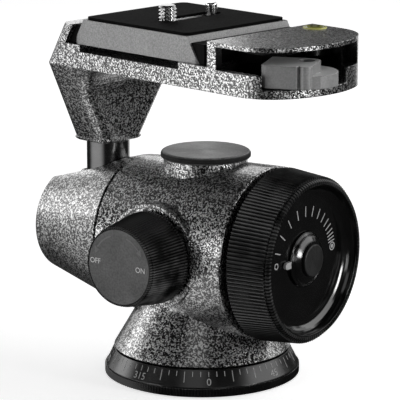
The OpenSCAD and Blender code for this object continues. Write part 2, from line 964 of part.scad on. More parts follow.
// Solid through a stack of rings with equal point counts, from the lowest to the highest
module loft(rings) {
    n = len(rings[0]);
    top = (len(rings) - 1) * n;
    sides = [
        for (i = [0 : len(rings) - 2], j = [0 : n - 1])
            let (a = i * n + j, b = i * n + (j + 1) % n)
                each [[a, a + n, b], [b, a + n, b + n]]
    ];
    bottom = [for (j = [0 : n - 1]) j];
    lid = [for (j = [n - 1 : -1 : 0]) top + j];
    polyhedron([for (ring = rings) each ring], concat(sides, [bottom, lid]));
}

// Foot and lip in one: the foot flares from the stem and blends into the underside of the arm,
// and the lip leans over it
module foot_and_lip() {
    round_low = 1.6;
    low_z = foot_z + round_low;
    flare_h = arm_z - low_z;
    u = foot_u / 2;
    v = foot_v / 2;
    wide = arm_w / 2 - eps;
    lip_low = lip_in - lip_t - lean * arm_t;
    lip_high = lip_in - lip_t + lean * lip_h;
    in_u = u + foot_flare + arm_fillet;
    steps = 8;
    loft(concat(
        [
            for (a = [20, 45, 70])
                let (q = round_low * (1 - sin(a)))
                    round_ring(q - u, u - q, v - q, lip_round - round_low, foot_z + round_low * (1 - cos(a)))
        ],
        [round_ring(-u, u, v, lip_round, low_z)],
        [
            for (i = [0 : steps])
                let (
                    a = 90 * i / steps,
                    z = arm_z - arm_fillet * (1 - sin(a)),
                    s = (z - low_z) / flare_h
                )
                    round_ring(
                        (lip_low + u) * s - u, u + foot_flare * s + arm_fillet * (1 - cos(a)),
                        v + (wide - v) * s, lip_round, z
                    )
        ],
        [round_ring(lip_high, in_u, wide, lip_round, floor_z + lip_h)]
    ));
}

// Arm and lever housing before they are hollowed
module arm() {
    translate([0, 0, arm_z])
        linear_extrude(cover_rise + arm_t)
            arm_outline(lip_in + lean * cover_rise + 1, 0);
}

// Channel in which the plate and the fixed jaw lie
module plate_channel() {
    rise = 30;
    across([
        [lip_in, floor_z],
        [post_u, floor_z],
        [post_u, floor_z + rise],
        [lip_in + lean * rise, floor_z + rise]
    ], far);
    across([
        [plate_left + relief_in, floor_z - relief_t],
        [plate_right - 2 * relief_in + 1, floor_z - relief_t],
        [plate_right - 2 * relief_in + 1, floor_z + 1],
        [plate_left + relief_in, floor_z + 1]
    ], far);
}

// Hollow of the lever housing
module lever_room() {
    translate([0, 0, house_floor_z])
        linear_extrude(floor_z - house_floor_z + 1)
            intersection() {
                arm_outline(0, house_wall);
                translate([room_u, -far / 2])
                    square(far);
            }
    translate([0, 0, floor_z])
        linear_extrude(roof_z - floor_z)
            intersection() {
                arm_outline(0, house_wall);
                translate([post_u - 1, -far / 2])
                    square(far);
            }
}

// Slot through which the lever swings, from the post round to the back corner
module lever_window() {
    translate([0, 0, sill_z])
        linear_extrude(roof_z - sill_z)
            polygon([
                [post_u + post_w, -far],
                [tip_u + far, -far],
                [tip_u + far, window_v],
                [corner_u, window_v],
                [corner_u, 0],
                [post_u + post_w, 0]
            ]);
}

// Pocket in the wall for the cam and the swing of the grip
module lever_pocket() {
    translate([pivot_u, pivot_v, house_floor_z])
        cylinder(r = pocket_r, h = floor_z - house_floor_z);
    translate([pivot_u, pivot_v, grip_z - 0.5])
        intersection() {
            cylinder(r = sweep_r, h = floor_z - grip_z);
            linear_extrude(far)
                polygon(concat(
                    [[0, 0]],
                    arc([0, 0], 2 * sweep_r, sweep_from, sweep_to, 6)
                ));
        }
}

module bracket() {
    color("#77797b")
        on_platform()
            difference() {
                union() {
                    foot_and_lip();
                    arm();
                }
                plate_channel();
                difference() {
                    lever_room();
                    translate([level_u, level_v, floor_z])
                        cylinder(d = level_d + 4, h = far);
                }
                lever_window();
                lever_pocket();
                translate([0, 0, foot_z - 1])
                    cylinder(d = stud_d + 3 + 2 * fit, h = stud_l + 1.5);
                translate([pivot_u, pivot_v, arm_z + 1])
                    cylinder(d = lever_pin_d + 2 * fit, h = arm_t);
                translate([room_u - spring_sink, pivot_v, spring_z])
                    rotate([0, 90, 0])
                        cylinder(d = spring_d + 0.6, h = spring_sink + 1);
                translate([level_u, level_v, roof_z - 3])
                    cylinder(d = level_d + 2 * fit, h = far);
            }
}

module foot_insert() {
    color("#8f9296")
        on_platform()
            turned_z([
                [stud_d / 2 + fit, foot_z + fit],
                [stud_d / 2 + 1.5, foot_z + fit],
                [stud_d / 2 + 1.5, foot_z + stud_l],
                [stud_d / 2 + fit, foot_z + stud_l]
            ]);
}

module fixed_jaw() {
    top = floor_z + lip_h - 0.3;
    rise = top - floor_z;
    color("#121213")
        on_platform()
            across([
                [lip_in + fit, floor_z],
                [plate_left - jaw_gap, floor_z],
                [plate_left - jaw_gap + lean * rise, top],
                [lip_in + fit + lean * rise, top]
            ], jaw_l);
}

module lever_pin() {
    color("#2a2b2d")
        on_platform()
            turned_z([
                [0, arm_z + 1 + fit],
                [lever_pin_d / 2, arm_z + 1 + fit],
                [lever_pin_d / 2, lever_top_z - 1.4],
                [lever_pin_d / 2 - edge, lever_top_z - 1.1],
                [0, lever_top_z - 1.1]
            ], [pivot_u, pivot_v]);
}

// Points on the wire of the jaw spring
spring_r = (spring_d - spring_wire) / 2;
spring_from = room_u - spring_sink + spring_wire / 2 + 0.1;
spring_to = leg_u - spring_wire / 2 - 0.1;
wire_steps = 8;
wire_sides = 6;
wire_rings = spring_turns * wire_steps;
spring_pitch = (spring_to - spring_from) / spring_turns;
function wire_at(i) = let (a = 360 * i / wire_steps)
    [spring_from + spring_pitch * i / wire_steps, spring_r * cos(a), spring_r * sin(a)];
function wire_ring(i) = let (a = 360 * i / wire_steps, c = wire_at(i))
    [for (j = [0 : wire_sides - 1])
        let (b = 360 * j / wire_sides, q = spring_wire / 2)
            c + q * [sin(b), cos(b) * cos(a), cos(b) * sin(a)]];
echo(spring_gap = spring_pitch - spring_wire);

module jaw_spring() {
    points = [for (i = [0 : wire_rings]) each wire_ring(i)];
    sides = [
        for (i = [0 : wire_rings - 1], j = [0 : wire_sides - 1])
            let (
                k = (j + 1) % wire_sides,
                a = i * wire_sides + j,
                b = i * wire_sides + k,
                c = a + wire_sides,
                d = b + wire_sides
            )
                each [[a, b, c], [b, d, c]]
    ];
    caps = [
        for (j = [1 : wire_sides - 2])
            each [
                [0, j + 1, j],
                [wire_rings * wire_sides, wire_rings * wire_sides + j, wire_rings * wire_sides + j + 1]
            ]
    ];
    color("#b9bcc0")
        on_platform()
            translate([0, pivot_v, spring_z])
                polyhedron(points, concat(sides, caps));
}

module level_vial() {
    color("#c9d63a")
        on_platform()
            turned_z([
                [0, roof_z - 3 + fit],
                [level_d / 2, roof_z - 3 + fit],
                [level_d / 2, cover_z + 0.2],
                [level_d / 2 - 0.6, cover_z + 0.5],
                [0, cover_z + 0.6]
            ], [level_u, level_v]);
}

module level_bezel() {
    color("#3c3d40")
        on_platform()
            turned_z([
                [level_d / 2 + fit, cover_z],
                [level_d / 2 + 0.7, cover_z],
                [level_d / 2 + 0.6, cover_z + 0.3],
                [level_d / 2 + fit, cover_z + 0.4]
            ], [level_u, level_v]);
}

// Places a part of the lever at its pivot, with x along the grip and -y out of it
module on_lever() {
    translate([pivot_u, pivot_v, 0])
        rotate([0, 0, lever_dir])
            children();
}

// Outline of the cam: it rises evenly through the turn of the lever
module cam_outline() {
    steps = 16;
    high = cam_r + jaw_travel;
    open_at = 180 - lever_turn;
    polygon(concat(
        [for (i = [0 : steps])
            let (s = i / steps, r = cam_r + jaw_travel * s, a = open_at + lever_turn * s)
                [r * cos(a), r * sin(a)]],
        arc([0, 0], high, 186, 192, 1),
        arc([0, 0], cam_r, 205, 360 + open_at - 8, 14)
    ));
}

module qr_lever() {
    bevel = 1.6;
    color("#8b8d90")
        on_platform()
            difference() {
                union() {
                    on_lever() {
                        translate([0, 0, lever_low_z])
                            linear_extrude(lever_top_z - lever_low_z)
                                union() {
                                    polygon([
                                        [-grip_l, -grip_out + bevel],
                                        [-grip_l + bevel, -grip_out],
                                        [-grip_end, -grip_out],
                                        [-grip_end + 0.5, -grip_out + groove_in],
                                        [column_u, -grip_out + groove_in],
                                        [column_u + column_r - 0.2, -grip_out + column_r],
                                        [lug_r - 0.1, 0],
                                        [0, lug_r],
                                        [-grip_l, lug_r]
                                    ]);
                                    circle(lug_r);
                                }
                        translate([0, 0, grip_z])
                            linear_extrude(lever_top_z - grip_z)
                                polygon([
                                    [-grip_l, -grip_out + bevel],
                                    [-grip_l + bevel, -grip_out],
                                    [-grip_end, -grip_out],
                                    [-grip_end + 0.5, -grip_out + groove_in],
                                    [column_u, -grip_out + groove_in],
                                    [column_u, -grip_out + grip_t],
                                    [-grip_l, -grip_out + grip_t]
                                ]);
                        translate([column_u, -grip_out + column_r, grip_z])
                            cylinder(r = column_r, h = lever_top_z - grip_z);
                    }
                    translate([pivot_u, pivot_v, cam_z])
                        linear_extrude(cam_top_z - cam_z)
                            cam_outline();
                    translate([pivot_u, pivot_v, cam_z])
                        cylinder(r = lug_r, h = lever_top_z - cam_z);
                }
                translate([pivot_u, pivot_v, arm_z])
                    cylinder(d = lever_pin_d + 2 * fit, h = far);
            }
}

module moving_jaw() {
    low_z = floor_z + fit;
    face_u = plate_right + jaw_gap;
    color("#121213")
        on_platform() {
            across([
                [face_u, low_z],
                [jaw_back_u, low_z],
                [jaw_back_u, jaw_top_z],
                [face_u - lean * (jaw_top_z - floor_z), jaw_top_z]
            ], jaw_l);
            translate([jaw_back_u - 1, pivot_v - leg_w / 2, low_z]) {
                cube([leg_u + leg_t - jaw_back_u + 1, leg_w, 3]);
            }
            translate([leg_u, pivot_v - leg_w / 2, cam_z])
                cube([leg_t, leg_w, low_z - cam_z + 1]);
            translate([0, pivot_v, cam_z])
                linear_extrude(cam_top_z - cam_z)
                    polygon([
                        [leg_u + leg_t - 1, -leg_w / 2 + 1],
                        [nose_end_u, -0.8],
                        [nose_end_u, 0.8],
                        [leg_u + leg_t - 1, leg_w / 2 - 1]
                    ]);
        }
}

// Rounded plan of the plate, from its lower edges
module plate_plan(inset) {
    round_rect(
        plate_left + inset, -plate_w / 2 + inset,
        plate_right - inset, plate_w / 2 - inset, plate_round
    );
}

// Slot for the camera screw, with a half width, from one end to the other
module screw_slot(half, v0, v1, z0, z1) {
    translate([plate_mid, slot_mid, z0])
        linear_extrude(z1 - z0) {
            for (v = [v0, v1])
                translate([0, v])
                    circle(half);
            translate([-half, v0])
                square([2 * half, v1 - v0]);
        }
}

module camera_plate() {
    head_top = floor_z + head_room_h;
    color("#8f9194")
        on_platform()
            difference() {
                intersection() {
                    across([
                        [plate_left, floor_z],
                        [plate_right, floor_z],
                        [plate_right - lean * plate_h, plate_top_z],
                        [plate_left + lean * plate_h, plate_top_z]
                    ], plate_w);
                    translate([0, 0, floor_z - 1])
                        linear_extrude(plate_h + 2)
                            plate_plan(0);
                }
                screw_slot(slot_half, -screw_v, screw_v, floor_z - 1, plate_top_z + 1);
                screw_slot(head_d / 2 + 0.4, -screw_v, -screw_v + screw_travel, floor_z - 1, head_top);
                translate([plate_mid, slot_mid + screw_v, floor_z - 1])
                    cylinder(d = pin_collar_d + 2 * fit, h = pin_room_h + 1);
            }
}

module plate_pad() {
    shrink = lean * plate_h + 0.4;
    color("#1a1a1b")
        on_platform()
            difference() {
                translate([0, 0, plate_top_z])
                    linear_extrude(pad_t)
                        round_rect(
                            plate_left + shrink, -plate_w / 2 + 0.4,
                            plate_right - shrink, plate_w / 2 - 0.4, plate_round
                        );
                screw_slot(slot_half, -screw_v, screw_v, plate_top_z - 1, pad_top_z + 1);
            }
}

module pin_bush() {
    bore = pin_d + 2 * fit;
    color("#1d1d1f")
        on_platform()
            turned_z([
                [bore / 2, floor_z + pin_room_h - pin_collar_t + 1],
                [pin_flange_d / 2 + fit, floor_z + pin_room_h - pin_collar_t + 1],
                [pin_flange_d / 2 + fit, floor_z + pin_room_h - pin_collar_t],
                [pin_collar_d / 2, floor_z + pin_room_h - pin_collar_t],
                [pin_collar_d / 2, floor_z + pin_room_h],
                [pin_bush_d / 2, floor_z + pin_room_h],
                [pin_bush_d / 2, plate_top_z],
                [bore / 2, plate_top_z]
            ], [plate_mid, slot_mid + screw_v]);
}

module screw_washer() {
    top = floor_z + head_room_h - 0.1;
    color("#d8d4c4")
        on_platform()
            turned_z([
                [screw_d / 2 - 0.4, top - screw_washer_t],
                [head_d / 2, top - screw_washer_t],
                [head_d / 2, top],
                [screw_d / 2 - 0.4, top]
            ], [plate_mid, slot_mid - screw_v]);
}

module camera_screw() {
    neck = screw_d - 0.9;
    head_z = floor_z + head_gap;
    top_z = pad_top_z + screw_rise;
    color("#c4c6c9")
        on_platform()
            difference() {
                turned_z([
                    [0, head_z],
                    [head_d / 2 - edge, head_z],
                    [head_d / 2, head_z + edge],
                    [head_d / 2, head_z + head_h],
                    [neck / 2, head_z + head_h],
                    [neck / 2, pad_top_z + 0.2],
                    [screw_d / 2, pad_top_z + 0.2],
                    [screw_d / 2, top_z - 0.8],
                    [screw_d / 2 - 0.8, top_z],
                    [0, top_z]
                ], [plate_mid, slot_mid - screw_v]);
                translate([plate_mid, slot_mid - screw_v, head_z])
                    cube([head_d + 1, 1.6, 2.4], center = true);
            }
}

module video_pin() {
    top_z = pad_top_z + pin_rise;
    flange_z = floor_z + pin_room_h - pin_collar_t + 1 - 0.1;
    color("#c4c6c9")
        on_platform()
            turned_z(concat(
                [
                    [0, flange_z - 0.8],
                    [pin_flange_d / 2, flange_z - 0.8],
                    [pin_flange_d / 2, flange_z],
                    [pin_d / 2, flange_z]
                ],
                arc([pin_d / 2 - 0.7, top_z - 0.7], 0.7, 0, 90, 4),
                [[0, top_z]]
            ), [plate_mid, slot_mid + screw_v]);
}

base_ring();
pan_spindle();
pan_washer();
pan_disc();
pan_nut();
body_casting();
top_cap();
pan_bush();
tilt_bearing();
tilt_hub();
hub_cap();
tilt_pointer();
housing_ring();
pan_knob();
pan_knob_face();
pan_screw();
pan_plunger();
pan_shoe();
tilt_knob();
tilt_dial();
thrust_ring();
thrust_pins();
pressure_plate();
spring_stack();
push_rod();
clamp_cup();
ball_housing();
ball_seat();
ball_stem();
bracket();
foot_insert();
fixed_jaw();
lever_pin();
jaw_spring();
level_vial();
level_bezel();
qr_lever();
moving_jaw();
camera_plate();
plate_pad();
pin_bush();
screw_washer();
camera_screw();
video_pin();
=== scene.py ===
import math

import bmesh
import bpy
from mathutils import Matrix, Vector

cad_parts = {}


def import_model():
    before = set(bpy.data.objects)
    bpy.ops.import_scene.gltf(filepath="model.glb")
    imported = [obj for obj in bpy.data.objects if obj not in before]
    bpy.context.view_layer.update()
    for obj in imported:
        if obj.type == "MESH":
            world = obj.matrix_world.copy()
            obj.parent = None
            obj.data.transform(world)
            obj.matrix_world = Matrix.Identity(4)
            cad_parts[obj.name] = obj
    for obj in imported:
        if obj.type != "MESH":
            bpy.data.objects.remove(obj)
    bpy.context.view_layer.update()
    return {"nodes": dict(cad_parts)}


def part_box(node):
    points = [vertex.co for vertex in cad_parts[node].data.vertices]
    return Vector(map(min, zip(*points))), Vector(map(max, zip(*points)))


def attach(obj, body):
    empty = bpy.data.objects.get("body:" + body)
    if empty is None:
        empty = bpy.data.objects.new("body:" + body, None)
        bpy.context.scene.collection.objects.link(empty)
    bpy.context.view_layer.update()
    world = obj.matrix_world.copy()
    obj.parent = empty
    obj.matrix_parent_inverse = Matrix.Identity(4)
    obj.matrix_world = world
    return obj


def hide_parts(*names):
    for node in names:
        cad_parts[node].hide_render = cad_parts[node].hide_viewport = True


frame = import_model()
nodes = frame["nodes"]

# One millimetre in the frame's metres
MM = 0.001

# Camera, found from the photograph
CAMERA_AT = (0.538, -0.7215, 0.27097)
CAMERA_TILT = 90 - 13.02
CAMERA_TURN = 36.76
CAMERA_LENS = 233.757
CAMERA_CLIP = (0.05, 50)
SENSOR = 36

# Height of printed marks above and below the face that carries them, in mm
MARK_RISE = 0.05
MARK_SINK = 0.08

# Height of the axes of both knobs, in mm
AXIS_H = 48

# Axes of the platform: the stem's place along X in mm, and the turn about it in degrees
PLATFORM_AT = -42.6
PLATFORM_TURN = -8


# Frame helpers

def middle(node):
    """Centre of a node's box, in mm."""
    low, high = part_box(node)
    return (low + high) / 2 / MM


def lowest(node):
    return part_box(node)[0] / MM


def highest(node):
    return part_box(node)[1] / MM


# Blender helpers

def new_object(name, data):
    item = bpy.data.objects.new(name, data)
    bpy.context.scene.collection.objects.link(item)
    return item


def evaluated_mesh(item):
    """Mesh of a curve, or of a mesh with its modifiers applied."""
    graph = bpy.context.evaluated_depsgraph_get()
    return bpy.data.meshes.new_from_object(item.evaluated_get(graph))


# Node graphs

# Range that most of a noise lies in
NOISE_LOW = 0.3
NOISE_HIGH = 0.7

BEVEL_SAMPLES = 6


def grey(colour):
    """RGBA from a grey level or an RGB triple."""
    if isinstance(colour, (int, float)):
        colour = (colour, colour, colour)
    return (*colour[:3], 1.0)


def math_node(tree, operation, a, b):
    node = tree.nodes.new("ShaderNodeMath")
    node.operation = operation
    for socket, value in zip(node.inputs, (a, b)):
        if isinstance(value, (int, float)):
            socket.default_value = value
        else:
            tree.links.new(value, socket)
    return node.outputs["Value"]


def vector_node(tree, operation, a, b=None):
    node = tree.nodes.new("ShaderNodeVectorMath")
    node.operation = operation
    tree.links.new(a, node.inputs[0])
    if b is not None:
        node.inputs[1].default_value = b
    return node


def range_node(tree, value, start, end, low, high, kind="LINEAR"):
    """Takes a value from the range start to end over to the range low to high."""
    node = tree.nodes.new("ShaderNodeMapRange")
    node.interpolation_type = kind
    for name, number in (("From Min", start), ("From Max", end), ("To Min", low), ("To Max", high)):
        node.inputs[name].default_value = number
    tree.links.new(value, node.inputs["Value"])
    return node.outputs["Result"]


class Graph:
    """A material with a Principled shader, and short calls to add nodes to it."""

    def __init__(self, name):
        self.material = bpy.data.materials.new(name)
        self.material.use_nodes = True
        self.tree = self.material.node_tree
        self.tree.nodes.clear()
        self.shader = self.add("ShaderNodeBsdfPrincipled")
        output = self.add("ShaderNodeOutputMaterial")
        self.link(self.shader.outputs["BSDF"], output.inputs["Surface"])
        self.coords = self.add("ShaderNodeTexCoord").outputs["Object"]

    def add(self, kind, **settings):
        node = self.tree.nodes.new(kind)
        for key, value in settings.items():
            setattr(node, key, value)
        return node

    def link(self, source, target):
        self.tree.links.new(source, target)

    def set(self, **values):
        """Constants on the shader's own sockets; a key's underscores stand for spaces."""
        for key, value in values.items():
            self.shader.inputs[key.replace("_", " ")].default_value = value

    def stretched(self, scale):
        node = self.add("ShaderNodeMapping")
        node.inputs["Scale"].default_value = scale
        self.link(self.coords, node.inputs["Vector"])
        return node.outputs["Vector"]

    def noise(self, scale, detail=2.0, roughness=0.5, distortion=0.0, coords=None):
        node = self.add("ShaderNodeTexNoise")
        node.inputs["Scale"].default_value = scale
        node.inputs["Detail"].default_value = detail
        node.inputs["Roughness"].default_value = roughness
        node.inputs["Distortion"].default_value = distortion
        self.link(coords or self.coords, node.inputs["Vector"])
        return node.outputs["Fac"]

    def ramp(self, factor, stops):
        """Colour ramp through (position, colour) stops, where a number stands for a grey."""
        node = self.add("ShaderNodeValToRGB")
        elements = node.color_ramp.elements
        while len(elements) < len(stops):
            elements.new(0.5)
        for element, (position, colour) in zip(elements, stops):
            element.position = position
            element.color = grey(colour)
        self.link(factor, node.inputs["Fac"])
        return node.outputs["Color"]

    def span(self, factor, low, high, start, end):
        return range_node(self.tree, factor, start, end, low, high)

    def shades(self, noise, low, high):
        """Colours over the range that most of a noise lies in."""
        return self.ramp(noise, [(NOISE_LOW, low), (NOISE_HIGH, high)])

    def uneven(self, noise, low, high):
        """Numbers over the range that most of a noise lies in."""
        return self.span(noise, low, high, NOISE_LOW, NOISE_HIGH)

    def math(self, operation, a, b=0.0):
        return math_node(self.tree, operation, a, b)

    def squares(self, a, b):
        return self.math("ADD", self.math("MULTIPLY", a, a), self.math("MULTIPLY", b, b))

    def split(self, vector):
        parts = self.add("ShaderNodeSeparateXYZ")
        self.link(vector, parts.inputs[0])
        return parts.outputs

    def mix(self, factor, a, b, blend="MIX"):
        node = self.add("ShaderNodeMix", data_type="RGBA", blend_type=blend)
        for socket, value in ((node.inputs[0], factor), (node.inputs[6], a), (node.inputs[7], b)):
            if isinstance(value, (int, float, tuple)):
                socket.default_value = grey(value) if socket.type == "RGBA" else value
            else:
                self.link(value, socket)
        return node.outputs[2]

    def bump(self, height, strength, depth):
        node = self.add("ShaderNodeBump")
        node.inputs["Strength"].default_value = strength
        node.inputs["Distance"].default_value = depth * MM
        self.link(height, node.inputs["Height"])
        return node

    def surface(self, height, strength, depth, round_edge=0.0):
        """Bump from a height, depth mm deep, on edges that look rounded by round_edge mm."""
        bump = self.bump(height, strength, depth)
        if round_edge:
            bevel = self.add("ShaderNodeBevel", samples=BEVEL_SAMPLES)
            bevel.inputs["Radius"].default_value = round_edge * MM
            self.link(bevel.outputs["Normal"], bump.inputs["Normal"])
        self.link(bump.outputs["Normal"], self.shader.inputs["Normal"])

    def coat(self, height, strength, depth, **values):
        """Clear coat with a bump of its own, fainter than that of what it covers."""
        bump = self.bump(height, strength, depth)
        self.link(bump.outputs["Normal"], self.shader.inputs["Coat Normal"])
        self.set(**values)

    def turned(self, axis, amount):
        """Stretches the gloss round an axis, as on a face from the lathe."""
        tangent = self.add("ShaderNodeTangent", direction_type="RADIAL", axis=axis)
        self.link(tangent.outputs["Tangent"], self.shader.inputs["Tangent"])
        self.set(Anisotropic=amount)

    def ridges(self, across, count):
        """Wave from 0 to 1 that runs round the knobs' axes at their height, count times a turn."""
        place = self.split(self.coords)
        up = self.math("SUBTRACT", place["Z"], AXIS_H * MM)
        angle = self.math("ARCTAN2", up, place[across])
        wave = self.math("SINE", self.math("MULTIPLY", angle, count))
        return self.span(wave, 0.0, 1.0, -1.0, 1.0)

    def facing(self, axis, start, end):
        """0 to 1 as a face turns towards an axis, from either side, between two cosines."""
        normal = self.split(self.add("ShaderNodeNewGeometry").outputs["True Normal"])
        return self.span(self.math("ABSOLUTE", normal[axis]), 0.0, 1.0, start, end)

    def placed(self, location, turn, unit):
        """Coordinates about a place in mm, turned about the vertical, in units of some mm."""
        place = self.add("ShaderNodeMapping", vector_type="TEXTURE")
        place.inputs["Location"].default_value = Vector(location) * MM
        place.inputs["Rotation"].default_value = (0, 0, math.radians(turn))
        place.inputs["Scale"].default_value = Vector((unit, unit, unit)) * MM
        self.link(self.coords, place.inputs["Vector"])
        return self.split(place.outputs["Vector"])

    def platform(self):
        """Platform coordinates in mm: u from the stem to the lever, v across, and the height."""
        return self.placed((PLATFORM_AT, 0, 0), PLATFORM_TURN, 1)

    def all_of(self, *tests):
        """1 where each test is 1; a test is (value, "<" or ">", limit)."""
        result = 1.0
        for value, sign, limit in tests:
            kind = "LESS_THAN" if sign == "<" else "GREATER_THAN"
            result = self.math("MULTIPLY", result, self.math(kind, value, limit))
        return result

    def colour(self, source):
        self.link(source, self.shader.inputs["Base Color"])

    def gloss(self, source):
        self.link(source, self.shader.inputs["Roughness"])


# Materials

# Hollow of the lever housing in platform coordinates, in mm
ROOM_CORNER = (89.7, 9.0)
ROOM_CORNER_R = 17
ROOM_FROM = 76.1
ROOM_FLOOR = 113.4
ROOM_ROOF = 126.35
ROOM_SKIN = 0.25


def lever_room(g):
    """1 inside the hollow of the lever housing, where shadow is painted in, 0 on its outer skin."""
    u, v, z = g.platform()
    along = g.math("MAXIMUM", g.math("SUBTRACT", u, ROOM_CORNER[0]), 0.0)
    aside = g.math("MAXIMUM", g.math("SUBTRACT", g.math("ABSOLUTE", v), ROOM_CORNER[1]), 0.0)
    return g.all_of(
        (g.squares(along, aside), "<", (ROOM_CORNER_R - ROOM_SKIN) ** 2),
        (u, ">", ROOM_FROM), (z, ">", ROOM_FLOOR), (z, "<", ROOM_ROOF),
    )


# Hammer paint: scale of its beads and of a coarser grain in them, that grain's share, and its shades from
# the dark net to the beads. Shadow is painted near black into the hollow of the lever housing.
BEADS = 1750
COARSE_BEADS = 850
COARSE_SHARE = 0.28
BEAD_SHADES = ((0.445, 0.001), (0.485, 0.015), (0.525, 0.27), (0.59, 0.66))
# Painted shadow: colour of the paint inside the hollow of the lever housing
HOLLOW_PAINTED_SHADOW = 0.004


def hammer_paint(name, hollow=None):
    """Hammer-finish paint: glossy metallic beads in a dark net, about 1.1 mm apart."""
    g = Graph(name)
    fine = g.noise(BEADS, detail=1.0, roughness=0.4, distortion=0.35)
    coarse = g.noise(COARSE_BEADS, detail=1.0)
    grain = g.math(
        "ADD", g.math("MULTIPLY", fine, 1 - COARSE_SHARE), g.math("MULTIPLY", coarse, COARSE_SHARE),
    )
    cloud = g.noise(70, detail=2)
    tone = g.shades(cloud, 0.84, 1.0)
    shade = g.mix(1.0, g.ramp(grain, BEAD_SHADES), tone, "MULTIPLY")
    # Painted shadow: the colour goes near black where the mask is 1
    if hollow:
        shade = g.mix(hollow(g), shade, HOLLOW_PAINTED_SHADOW)
    g.colour(shade)
    g.gloss(g.span(grain, 0.46, 0.28, 0.35, 0.65))
    g.surface(grain, 0.85, 0.22, round_edge=0.5)
    g.set(Metallic=0.9, Specular_IOR_Level=0.2)
    g.coat(grain, 0.3, 0.06, Coat_Weight=1.0, Coat_IOR=1.75, Coat_Roughness=0.20)
    return g.material


def black_ring():
    """Turned black anodising of the graduated base."""
    g = Graph("satin_black")
    lines = g.noise(1, detail=3, coords=g.stretched((60, 60, 5200)))
    smudge = g.noise(90, detail=3)
    g.colour(g.shades(smudge, 0.001, 0.004))
    g.gloss(g.uneven(smudge, 0.16, 0.26))
    g.surface(lines, 0.20, 0.04, round_edge=0.25)
    g.turned("Z", 0.3)
    g.set(Metallic=0.0, Specular_IOR_Level=0.7)
    return g.material


def knob_black(name, across, ridges, crest_wear_and_highlight_shade, specular):
    """Moulded black knob whose ridges run on over its front edge; their crests are coloured paler, as
    rubbed wear and as a painted highlight.
    """
    g = Graph(name)
    grain = g.noise(2600, detail=2)
    patch = g.noise(160, detail=2)
    crest = g.ridges(across, ridges)
    # Paler crests: partly rubbed wear, partly a painted highlight along the ridges
    crest_wear_and_highlight = g.math("MULTIPLY", crest, g.span(patch, 0.35, 1.0, 0.35, 0.65))
    g.colour(g.ramp(crest_wear_and_highlight, [(0.35, 0.001), (0.95, crest_wear_and_highlight_shade)]))
    g.gloss(g.uneven(patch, 0.30, 0.40))
    g.surface(g.math("ADD", crest, g.math("MULTIPLY", grain, 0.1)), 0.6, 0.30, round_edge=0.12)
    g.set(Specular_IOR_Level=specular)
    return g.material


def gloss_black(name, round_edge):
    """Lacquered dial: deep black, with the faint rings of the turning under the lacquer."""
    g = Graph(name)
    rings = g.noise(1, detail=2, coords=g.stretched((900, 120, 120)))
    g.colour(g.shades(rings, 0.001, 0.003))
    g.gloss(g.uneven(rings, 0.11, 0.16))
    g.surface(rings, 0.05, 0.02, round_edge=round_edge)
    g.set(Specular_IOR_Level=0.9)
    return g.material


# Satin discs: how far their clouds and their grain go below and above the shade, and the shade of the rim
CAP_CLOUD = (0.45, 1.55)
CAP_GRAIN = (0.35, 2.1)
CAP_RIM = 0.002


def satin_cap(name, axis, turning, shade):
    """Satin dark-grey disc with a black rim, turned about an axis."""
    g = Graph(name)
    grain = g.noise(1300, detail=2)
    patch = g.noise(110, detail=3)
    cloud = g.shades(patch, CAP_CLOUD[0] * shade, CAP_CLOUD[1] * shade)
    speckle = g.ramp(grain, [(0.35, CAP_GRAIN[0] * shade), (0.65, CAP_GRAIN[1] * shade)])
    flat = g.facing(axis, 0.55, 0.85)
    g.colour(g.mix(flat, CAP_RIM, g.mix(0.4, cloud, speckle)))
    g.gloss(g.math("SUBTRACT", g.uneven(grain, 0.62, 0.80), g.math("MULTIPLY", flat, 0.3)))
    g.surface(grain, 0.60, 0.10, round_edge=0.3)
    g.turned(axis, turning)
    g.set(Metallic=0.35, Specular_IOR_Level=0.5)
    return g.material


def pale_mark(name, low, high):
    """Printed paint of the marks, slightly uneven."""
    g = Graph(name)
    patch = g.noise(900, detail=2)
    g.colour(g.shades(patch, low, high))
    g.gloss(g.uneven(patch, 0.50, 0.62))
    g.surface(patch, 0.10, 0.02)
    return g.material


def machined(name, low, high, rough, metallic=1.0, specular=0.5):
    """Machined metal with a fine grain."""
    g = Graph(name)
    grain = g.noise(2600, detail=3)
    patch = g.noise(120, detail=2)
    g.colour(g.shades(patch, low, high))
    g.gloss(g.uneven(grain, rough - 0.05, rough + 0.06))
    g.surface(grain, 0.12, 0.03, round_edge=0.15)
    g.set(Metallic=metallic, Specular_IOR_Level=specular)
    return g.material


def polished_steel(name, low, high):
    """Polished steel with faint marks of the turning."""
    g = Graph(name)
    lines = g.noise(1, detail=3, coords=g.stretched((90, 90, 3600)))
    patch = g.noise(100, detail=2)
    g.colour(g.shades(patch, low, high))
    g.gloss(g.uneven(lines, 0.10, 0.20))
    g.surface(lines, 0.08, 0.02, round_edge=0.15)
    g.set(Metallic=1.0)
    return g.material


# Slot of the camera plate in platform coordinates, in mm: u from and to, v from and to, top
PLATE_SLOT = (36.0, 43.4, -12.2, 16.6)
PLATE_TOP = 128.2
# Slot walls: bright milled metal, with painted light on top of that
SLOT_MILLED_AND_PAINTED_LIGHT = 0.9


